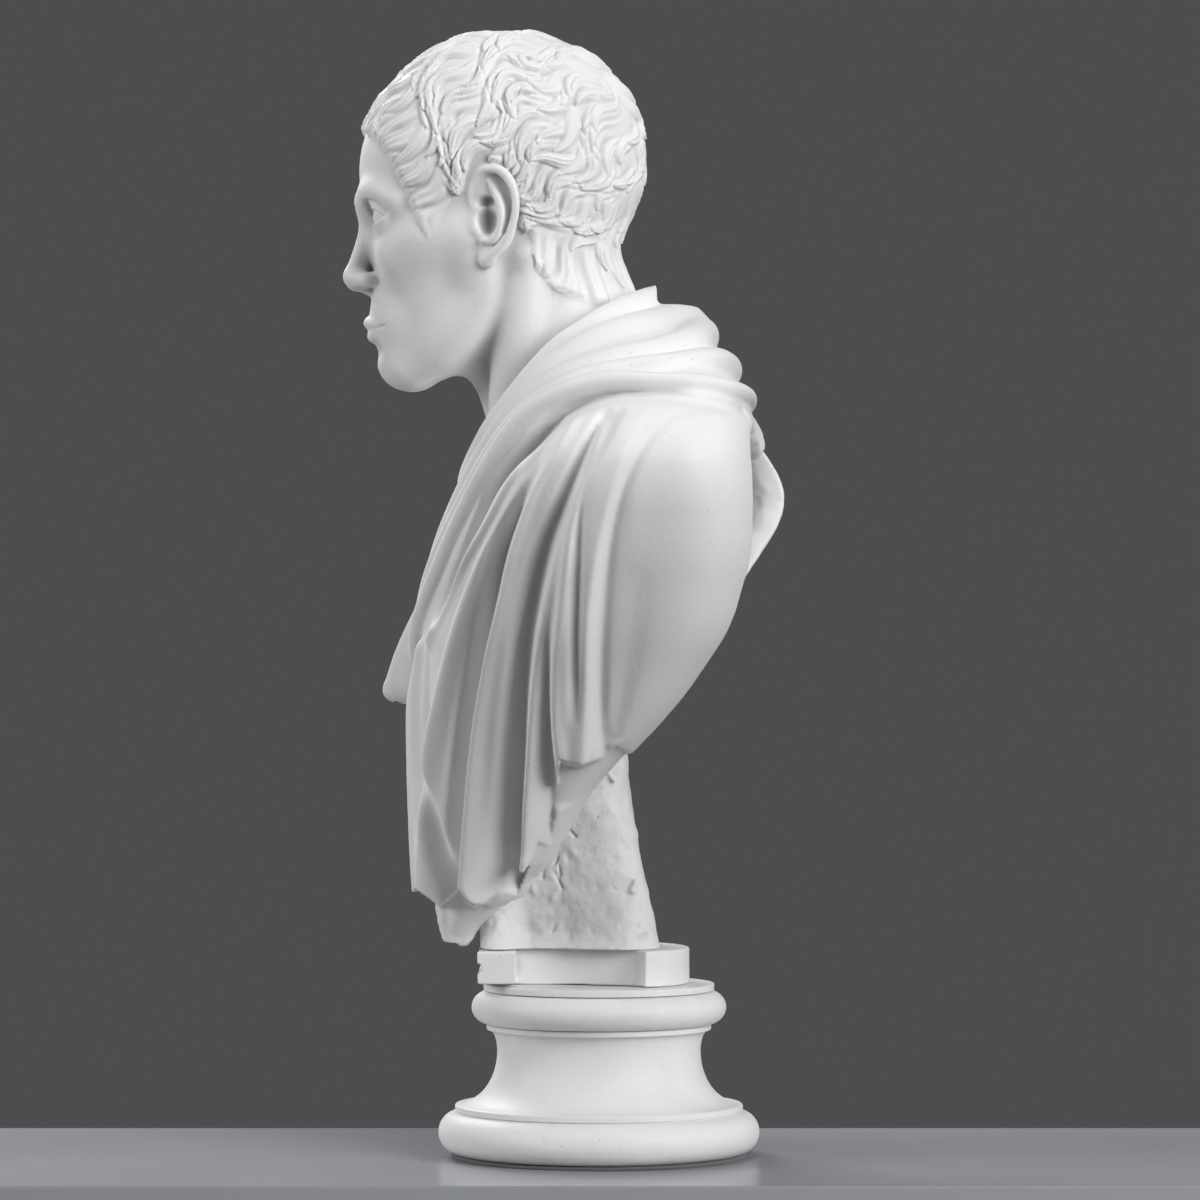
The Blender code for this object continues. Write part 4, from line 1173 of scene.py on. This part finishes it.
def tool_marks(clay):
    """Trowel and chisel strokes, lumps and pits left in the column's unfinished faces."""
    rng = np.random.default_rng(21)
    for _ in range(TOOL_STROKES):
        z = rng.uniform(0.146, 0.43)
        back, ridge, _, _, waist = read_table(COLUMN_SECTIONS, z)
        y = rng.uniform(-0.06, back - 0.006)
        side = rng.choice((-1, 1))
        blend = np.clip((y + 0.05) / (back + 0.05), 0, 1)
        x = side * (waist + (ridge - waist) * blend - 0.001)
        start = np.array((x, y, z))
        turn = rng.uniform(-0.9, 0.9)
        length = rng.uniform(4, 16) * MM
        end = start + length * np.array((0, math.sin(turn), math.cos(turn)))
        if rng.random() < 0.6:
            clay.stroke([start, end], [rng.uniform(0.3, 0.8) * MM, 0.2 * MM], 2.5 * MM, cut=True)
        else:
            clay.stroke([start, end], [rng.uniform(0.8, 1.8) * MM, 0.5 * MM], 4 * MM)
    for _ in range(TOOL_PITS):
        z = rng.uniform(0.145, 0.44)
        back, ridge = read_table(COLUMN_SECTIONS, z)[:2]
        y = rng.uniform(-0.05, back - 0.004)
        side = rng.choice((-1, 1))
        pit = rng.uniform(0.4, 0.9) * MM
        clay.ellipsoid((side * (ridge - 0.003), y, z), (pit * 2, pit, pit * 1.2), 0.8 * MM, cut=True)


# ---------------------------------------------------------------- foot plinth

PLINTH_RADIUS = 0.060
PLINTH_LOW, PLINTH_HIGH = 0.1153, 0.1390
FLANK_CENTRE = (0.052, -0.0585)
FLANK_RADII = (0.033, 0.0885)
TABLET_HALF = 0.048
TABLET_FRONT, TABLET_BACK = -0.0795, -0.0545
TABLET_LOW, TABLET_HIGH = 0.1173, 0.1385
GROOVE_HEIGHT = 0.1275
GROOVE_RADIUS = 0.0034


def make_plinth():
    clay = Clay(mm((-64, -84, 112)), mm((64, 64, 142)), PLINTH_STEP)
    x, y, z = (axis.astype(np.float32) for axis in clay.axes)
    x2, y2 = x[:, None, None], y[None, :, None]
    z2 = z[None, None, :]
    wobble = value_noise(clay, 22 * MM, 31) * 0.25 * MM + value_noise(clay, 6 * MM, 32) * 0.08 * MM
    disc = np.hypot(x2, y2) - PLINTH_RADIUS
    a = (np.abs(x2) - FLANK_CENTRE[0]) / FLANK_RADII[0]
    b = (y2 - FLANK_CENTRE[1]) / FLANK_RADII[1]
    reach = np.hypot(a, b)
    flank = (reach - 1) * reach / np.maximum(np.hypot(a / FLANK_RADII[0], b / FLANK_RADII[1]), 1e-3)
    outline = smooth_max(disc, -flank, 1.5 * MM)
    thick = np.maximum(z2 - PLINTH_HIGH, PLINTH_LOW - z2)
    plinth = smooth_max(outline + 0 * thick, thick + 0 * outline, 1.6 * MM)
    front = np.maximum(np.abs(x2) - TABLET_HALF, np.maximum(TABLET_FRONT - y2, y2 - TABLET_BACK))
    deep = np.maximum(z2 - TABLET_HIGH, TABLET_LOW - z2)
    tablet = smooth_max(front + 0 * deep, deep + 0 * front, 1.4 * MM)
    clay.field = soft_min(plinth, tablet, 1.2 * MM).astype(np.float32) + wobble
    groove = mm([(-70, 1000 * TABLET_FRONT - 0.5, 1000 * GROOVE_HEIGHT),
                 (70, 1000 * TABLET_FRONT - 0.5, 1000 * GROOVE_HEIGHT)])
    clay.stroke(groove, [GROOVE_RADIUS, GROOVE_RADIUS], 0.6 * MM, cut=True, detail=2)
    chip_edges(clay)
    plinth = clay.cast("foot_and_tablet")
    finish_piece(plinth, "foot_plinth", MARBLE)


def chip_edges(clay):
    """Small dents along the plinth's upper and lower edges."""
    rng = np.random.default_rng(33)
    for i in range(46):
        turn = rng.uniform(20, 160)
        turn = math.radians(turn)
        place = (PLINTH_RADIUS * math.cos(turn), PLINTH_RADIUS * math.sin(turn))
        if i % 3 == 0:
            place = (rng.uniform(-TABLET_HALF, TABLET_HALF), TABLET_FRONT)
        height = PLINTH_HIGH if rng.random() < 0.6 else PLINTH_LOW
        size = rng.uniform(0.4, 1.1) * MM
        clay.ellipsoid((*place, height), (size * 1.6, size * 1.4, size), 0.5 * MM, cut=True)


# ---------------------------------------------------------------- socle and felt

def rounded(corners, steps=4):
    """A path through corners (radius, height, rounding), each corner turned into a small arc."""
    path = []
    for i, (r, z, size) in enumerate(corners):
        here = Vector((r, z))
        if size == 0 or i in (0, len(corners) - 1):
            path.append(here)
            continue
        before = Vector(corners[i - 1][:2]) - here
        after = Vector(corners[i + 1][:2]) - here
        a = here + before.normalized() * min(size, before.length / 2)
        b = here + after.normalized() * min(size, after.length / 2)
        for k in range(steps + 1):
            t = k / steps
            path.append((1 - t) ** 2 * a + 2 * t * (1 - t) * here + t * t * b)
    return path


def bulge(radius, low, high, depth, steps=22):
    """A half round moulding from its top to its bottom."""
    points = []
    for i in range(steps + 1):
        a = math.pi / 2 - math.pi * i / steps
        height = (low + high) / 2 + (high - low) / 2 * math.sin(a)
        points.append((radius - depth + depth * math.cos(a), height, 0))
    return points


def hollow(top, waist, foot, steps=20):
    """A scotia from under the neck, in to the waist and out to the foot."""
    points = []
    for i in range(steps + 1):
        a = math.pi / 2 * i / steps
        radius = waist[0] + (top[0] - waist[0]) * (1 - math.sin(a))
        points.append((radius, waist[1] + (top[1] - waist[1]) * math.cos(a), 0))
    for i in range(1, steps + 1):
        a = math.pi / 2 * i / steps
        radius = waist[0] + (foot[0] - waist[0]) * (1 - math.cos(a))
        points.append((radius, waist[1] + (foot[1] - waist[1]) * math.sin(a), 0))
    return points


def turned_piece(name, outline, segments, irregular, seed):
    """Turns an outline of (radius, height) about +Z, a little out of true."""
    rng = np.random.default_rng(seed)
    waves = [(k, rng.uniform(0.2, 1.0) / k, rng.uniform(0, math.tau)) for k in (2, 3, 5, 8, 13, 21)]
    profile = np.array([tuple(p) for p in outline]) * MM
    angles = np.arange(segments) * math.tau / segments
    wobble = sum(size * np.cos(k * angles + start) for k, size, start in waves) * irregular
    radius = profile[:, 0][None, :] + wobble[:, None] * (profile[:, 0] / profile[:, 0].max())[None, :]
    x = radius * np.cos(angles)[:, None]
    y = radius * np.sin(angles)[:, None]
    z = np.broadcast_to(profile[:, 1][None, :], x.shape)
    verts = np.stack([x, y, z], axis=-1).reshape(-1, 3)
    count = len(profile)
    faces = []
    for i in range(segments):
        j = (i + 1) % segments
        for k in range(count):
            m = (k + 1) % count
            faces.append((i * count + k, i * count + m, j * count + m, j * count + k))
    mesh = bpy.data.meshes.new(name)
    mesh.from_pydata(verts.tolist(), [], faces)
    mesh.shade_smooth()
    return put_in_scene(name, mesh)


def make_socle():
    """The socle's outline from its bore outwards and down, as (radius, height, rounding)."""
    outline = [(7.2, 115.0, 0), (76.5, 115.0, 0.9), (76.5, 110.6, 0.3), (74.2, 110.2, 0)]
    outline += bulge(84.5, 88.3, 110.0, 11.5)
    outline += [(74.5, 87.6, 0.3), (74.5, 84.6, 0.4)]
    outline += hollow((73.0, 84.0), (67.5, 70.0), (94.6, 35.0))
    outline += [(95.5, 34.2, 0.4), (95.5, 30.9, 0.3), (94.2, 30.4, 0)]
    outline += bulge(106.5, 3.0, 30.0, 12.5)
    outline += [(93.5, 2.3, 0.3), (36.2, 2.3, 0.5), (36.2, 68.0, 0.8), (7.2, 68.0, 0.3)]
    path = rounded(outline)
    socle = turned_piece("turned_socle", path, 288, 0.12 * MM, 41)
    finish_piece(socle, "socle", MARBLE)


def make_felt():
    outline = [
        (7.5, 1.9, 0), (40, 2.0, 0), (97.2, 1.95, 0.5), (98.0, 1.2, 0.5), (97.9, 0.5, 0.4),
        (97.0, 0.0, 0.4), (60, 0.0, 0), (7.5, 0.05, 0),
    ]
    felt = turned_piece("felt_disc", rounded(outline), 240, 0.25 * MM, 42)
    finish_piece(felt, "felt_pad", FELT)


# ---------------------------------------------------------------- materials

def principled(name, colour, roughness, metallic=0.0):
    mat = bpy.data.materials.new(name)
    mat.use_nodes = True
    shader = mat.node_tree.nodes["Principled BSDF"]
    shader.inputs["Base Color"].default_value = (*colour, 1.0)
    shader.inputs["Roughness"].default_value = roughness
    shader.inputs["Metallic"].default_value = metallic
    return mat, mat.node_tree, shader


def node(tree, kind, links=(), **settings):
    """A shader node with its inputs set or linked by name."""
    made = tree.nodes.new(kind)
    for name, value in settings.items():
        setattr(made, name, value)
    for name, value in dict(links).items():
        if isinstance(value, bpy.types.NodeSocket):
            tree.links.new(value, made.inputs[name])
        else:
            made.inputs[name].default_value = value
    return made


def object_coordinates(tree):
    return node(tree, "ShaderNodeTexCoord").outputs["Object"]


def noise(tree, scale, detail=4.0, roughness=0.55, distortion=0.0):
    links = {
        "Vector": object_coordinates(tree),
        "Scale": scale,
        "Detail": detail,
        "Roughness": roughness,
        "Distortion": distortion,
    }
    return node(tree, "ShaderNodeTexNoise", links).outputs["Fac"]


def ramp(tree, factor, stops):
    """A colour ramp through (position, colour) stops."""
    made = node(tree, "ShaderNodeValToRGB", {"Fac": factor})
    elements = made.color_ramp.elements
    while len(elements) < len(stops):
        elements.new(0.5)
    for element, (position, colour) in zip(elements, stops):
        element.position = position
        element.color = (*colour, 1.0)
    return made.outputs["Color"]


def grey(value):
    return (value, value, value)


def remap(tree, value, low, high, new_low, new_high):
    links = {
        "Value": value,
        "From Min": low,
        "From Max": high,
        "To Min": new_low,
        "To Max": new_high,
    }
    return node(tree, "ShaderNodeMapRange", links).outputs["Result"]


def calculate(tree, operation, a, b):
    return node(tree, "ShaderNodeMath", {0: a, 1: b}, operation=operation).outputs[0]


def mix(tree, factor, a, b, kind="MIX"):
    made = node(tree, "ShaderNodeMix", data_type="RGBA", blend_type=kind)
    for place, value in ((0, factor), (6, a), (7, b)):
        if isinstance(value, bpy.types.NodeSocket):
            tree.links.new(value, made.inputs[place])
        else:
            made.inputs[place].default_value = value
    return made.outputs[2]


def bumps(tree, shader, layers):
    """Stacks (height, strength, distance) bump layers into the shader's normal."""
    normal = None
    for height, strength, distance in layers:
        links = {"Height": height, "Strength": strength, "Distance": distance}
        if normal is not None:
            links["Normal"] = normal
        normal = node(tree, "ShaderNodeBump", links).outputs["Normal"]
    tree.links.new(normal, shader.inputs["Normal"])


def pinholes(tree, scale, size):
    """1 in small round holes, 0 between them."""
    cells = node(tree, "ShaderNodeTexVoronoi", {
        "Vector": object_coordinates(tree), "Scale": scale, "Randomness": 1.0,
    })
    return remap(tree, cells.outputs["Distance"], size, size * 0.55, 0.0, 1.0)


def stone(name, tint, roughness, coarse):
    """White cast marble: cloudy veins, fine grain, specks and pinholes, with painted shade darkening its
    creases.
    """
    mat, tree, shader = principled(name, tint, roughness)
    cloud = noise(tree, 7.0, 5.0, 0.6, 0.8)
    vein = noise(tree, 3.2, 8.0, 0.62, 1.6)
    vein_line = remap(tree, calculate(tree, "SUBTRACT", vein, 0.5), 0.0, 0.035, 0.0, 1.0)
    warm = ramp(tree, cloud, ((0.3, [c * 0.965 for c in tint]), (0.7, tint)))
    cool = ramp(tree, vein_line, ((0.0, (0.93, 0.935, 0.945)), (1.0, (1.0, 1.0, 1.0))))
    colour = mix(tree, 0.8, (*tint, 1.0), warm)
    colour = mix(tree, 0.5, colour, cool, "MULTIPLY")
    speck = ramp(tree, noise(tree, 420.0, 2.0, 0.5), ((0.69, grey(1.0)), (0.76, grey(0.80))))
    colour = mix(tree, 0.7, colour, speck, "MULTIPLY")
    holes = pinholes(tree, 150.0, 0.085)
    hole_gate = remap(tree, noise(tree, 16.0, 2.0), 0.5, 0.62, 0.0, 1.0)
    holes = calculate(tree, "MULTIPLY", holes, hole_gate)
    colour = mix(tree, holes, colour, (0.42, 0.42, 0.43, 1.0))
    # painted shade: the crevice value darkens the colour in creases, valleys and the hollow, where shadow
    # falls
    crevice = node(tree, "ShaderNodeAttribute", attribute_name="crevice").outputs["Fac"]
    painted_crevice_shade = calculate(tree, "MULTIPLY", crevice, remap(tree, cloud, 0.3, 0.7, 0.7, 1.0))
    colour = mix(tree, painted_crevice_shade, colour, (0.38, 0.385, 0.40, 1.0), "MULTIPLY")
    tree.links.new(colour, shader.inputs["Base Color"])
    rough = remap(tree, noise(tree, 26.0, 6.0, 0.6), 0.3, 0.7, roughness - 0.07, roughness + 0.08)
    tree.links.new(rough, shader.inputs["Roughness"])
    pits = calculate(tree, "SUBTRACT", 1.0, holes)
    bumps(tree, shader, (
        (noise(tree, 38.0, 5.0, 0.6), 0.10 * coarse, 0.004),
        (noise(tree, 260.0, 4.0, 0.6), 0.12 * coarse, 0.0012),
        (noise(tree, 900.0, 2.0, 0.5), 0.10, 0.0004),
        (pits, 0.35, 0.0008),
    ))
    shader.inputs["IOR"].default_value = 1.38
    shader.inputs["Subsurface Weight"].default_value = 0.06
    shader.inputs["Subsurface Radius"].default_value = (0.004, 0.0036, 0.0032)
    return mat


def machined_steel():
    """Bare steel with fine turning rings."""
    mat, tree, shader = principled("machined_steel", (0.60, 0.61, 0.62), 0.3, 1.0)
    stretched = node(tree, "ShaderNodeMapping", {
        "Vector": object_coordinates(tree), "Scale": (30.0, 30.0, 900.0),
    })
    rings = node(tree, "ShaderNodeTexNoise", {
        "Vector": stretched.outputs["Vector"], "Scale": 2.0, "Detail": 3.0,
    }).outputs["Fac"]
    tone = ramp(tree, rings, ((0.3, (0.52, 0.53, 0.54)), (0.7, (0.66, 0.67, 0.68))))
    tree.links.new(tone, shader.inputs["Base Color"])
    tree.links.new(remap(tree, rings, 0.3, 0.7, 0.24, 0.42), shader.inputs["Roughness"])
    bumps(tree, shader, ((rings, 0.15, 0.0003),))
    return mat


def wool_felt():
    """Dark grey felt: matted fibres in loose tufts."""
    mat, tree, shader = principled("wool_felt", (0.10, 0.10, 0.105), 0.96)
    fibres = noise(tree, 1400.0, 6.0, 0.7, 2.0)
    tufts = noise(tree, 160.0, 4.0, 0.6)
    tone = ramp(tree, fibres, ((0.3, (0.055, 0.055, 0.06)), (0.7, (0.15, 0.15, 0.155))))
    tree.links.new(tone, shader.inputs["Base Color"])
    shader.inputs["Sheen Weight"].default_value = 0.35
    bumps(tree, shader, ((tufts, 0.4, 0.0010), (fibres, 0.5, 0.0004)))
    return mat


MARBLE = stone("white_marble", (0.80, 0.80, 0.795), 0.52, 1.0)
TOOLED_MARBLE = stone("tooled_marble", (0.72, 0.72, 0.715), 0.62, 2.6)
STEEL = machined_steel()
FELT = wool_felt()
STEEL_NODES = (
    "neck_dowel", "tie_rod", "anchor_washer", "anchor_nut", "clamp_washer", "spring_washer",
    "clamp_nut", "locating_pin_left", "locating_pin_right",
)


def finish_hardware():
    """The steel inside keeps its CAD shapes."""
    for name in STEEL_NODES:
        hardware = bpy.data.objects[name]
        hardware.data.materials.clear()
        hardware.data.materials.append(STEEL)


# ---------------------------------------------------------------- floor, light and camera

TABLE_DEPTH = (-0.196, 0.190)  # from its far edge to its near edge, along X
TABLE_HALF = 1.6
TABLE_THICK = 0.022


def make_floor():
    """A pale table top, deep enough for the bust, that runs out of view on both sides."""
    low = Vector((TABLE_DEPTH[0], -TABLE_HALF, -TABLE_THICK))
    high = Vector((TABLE_DEPTH[1], TABLE_HALF, 0.0))
    mesh = bpy.data.meshes.new("floor")
    bm = bmesh.new()
    bmesh.ops.create_cube(bm, size=1.0)
    for vert in bm.verts:
        vert.co = [(a + b) / 2 + c * (b - a) for a, b, c in zip(low, high, vert.co)]
    bmesh.ops.bevel(bm, geom=bm.edges[:], offset=1.2 * MM, segments=2, affect="EDGES")
    bm.to_mesh(mesh)
    bm.free()
    floor = put_in_scene("floor", mesh)
    mat, tree, shader = principled("pale_floor", (0.34, 0.35, 0.37), 0.25)
    tone = remap(tree, noise(tree, 3.0, 3.0), 0.3, 0.7, 0.22, 0.28)
    tree.links.new(tone, shader.inputs["Roughness"])
    floor.data.materials.append(mat)


# name, place, width in metres and power in watts; each is aimed at the middle of the bust
LIGHTS = (
    ("key", (2.5, 2.2, 1.5), 1.8, 112.0),
    ("top", (0.6, 0.2, 3.6), 1.6, 36.0),
    ("front", (0.6, -3.2, 1.4), 1.6, 58.0),
    ("far_side", (-2.4, -1.4, 2.2), 1.4, 62.0),
)
LIGHT_AIM = Vector((0.0, 0.0, 0.42))
BACKGROUND = (0.074, 0.075, 0.080, 1.0)
CAMERA_PLACE = (3.683, 0.0007, 0.369)
CAMERA_LENS = 166.5


def soft_box(name, place, size, power):
    light = bpy.data.lights.new(name, "AREA")
    light.shape = "RECTANGLE"
    light.size = size
    light.size_y = size
    light.energy = power
    lamp = put_in_scene(name, light)
    lamp.location = place
    lamp.rotation_euler = (LIGHT_AIM - Vector(place)).to_track_quat("-Z", "Y").to_euler()


def make_light():
    """Soft studio light on a grey backdrop, shown without a film-like curve."""
    bpy.context.scene.view_settings.view_transform = "Standard"
    world = bpy.data.worlds.new("studio")
    bpy.context.scene.world = world
    world.use_nodes = True
    background = world.node_tree.nodes["Background"]
    background.inputs["Color"].default_value = BACKGROUND
    background.inputs["Strength"].default_value = 1.0
    for name, place, size, power in LIGHTS:
        soft_box(name, place, size, power)


def make_camera():
    data = bpy.data.cameras.new("camera")
    data.lens = CAMERA_LENS
    data.sensor_width = 36.0
    camera = put_in_scene("camera", data)
    camera.location = CAMERA_PLACE
    camera.rotation_euler = (math.radians(90.0), 0.0, math.radians(90.0))
    bpy.context.scene.camera = camera


# ---------------------------------------------------------------- the whole scene

make_camera()
make_head()
make_shell()
make_column()
make_plinth()
make_socle()
make_felt()
finish_hardware()
make_floor()
make_light()
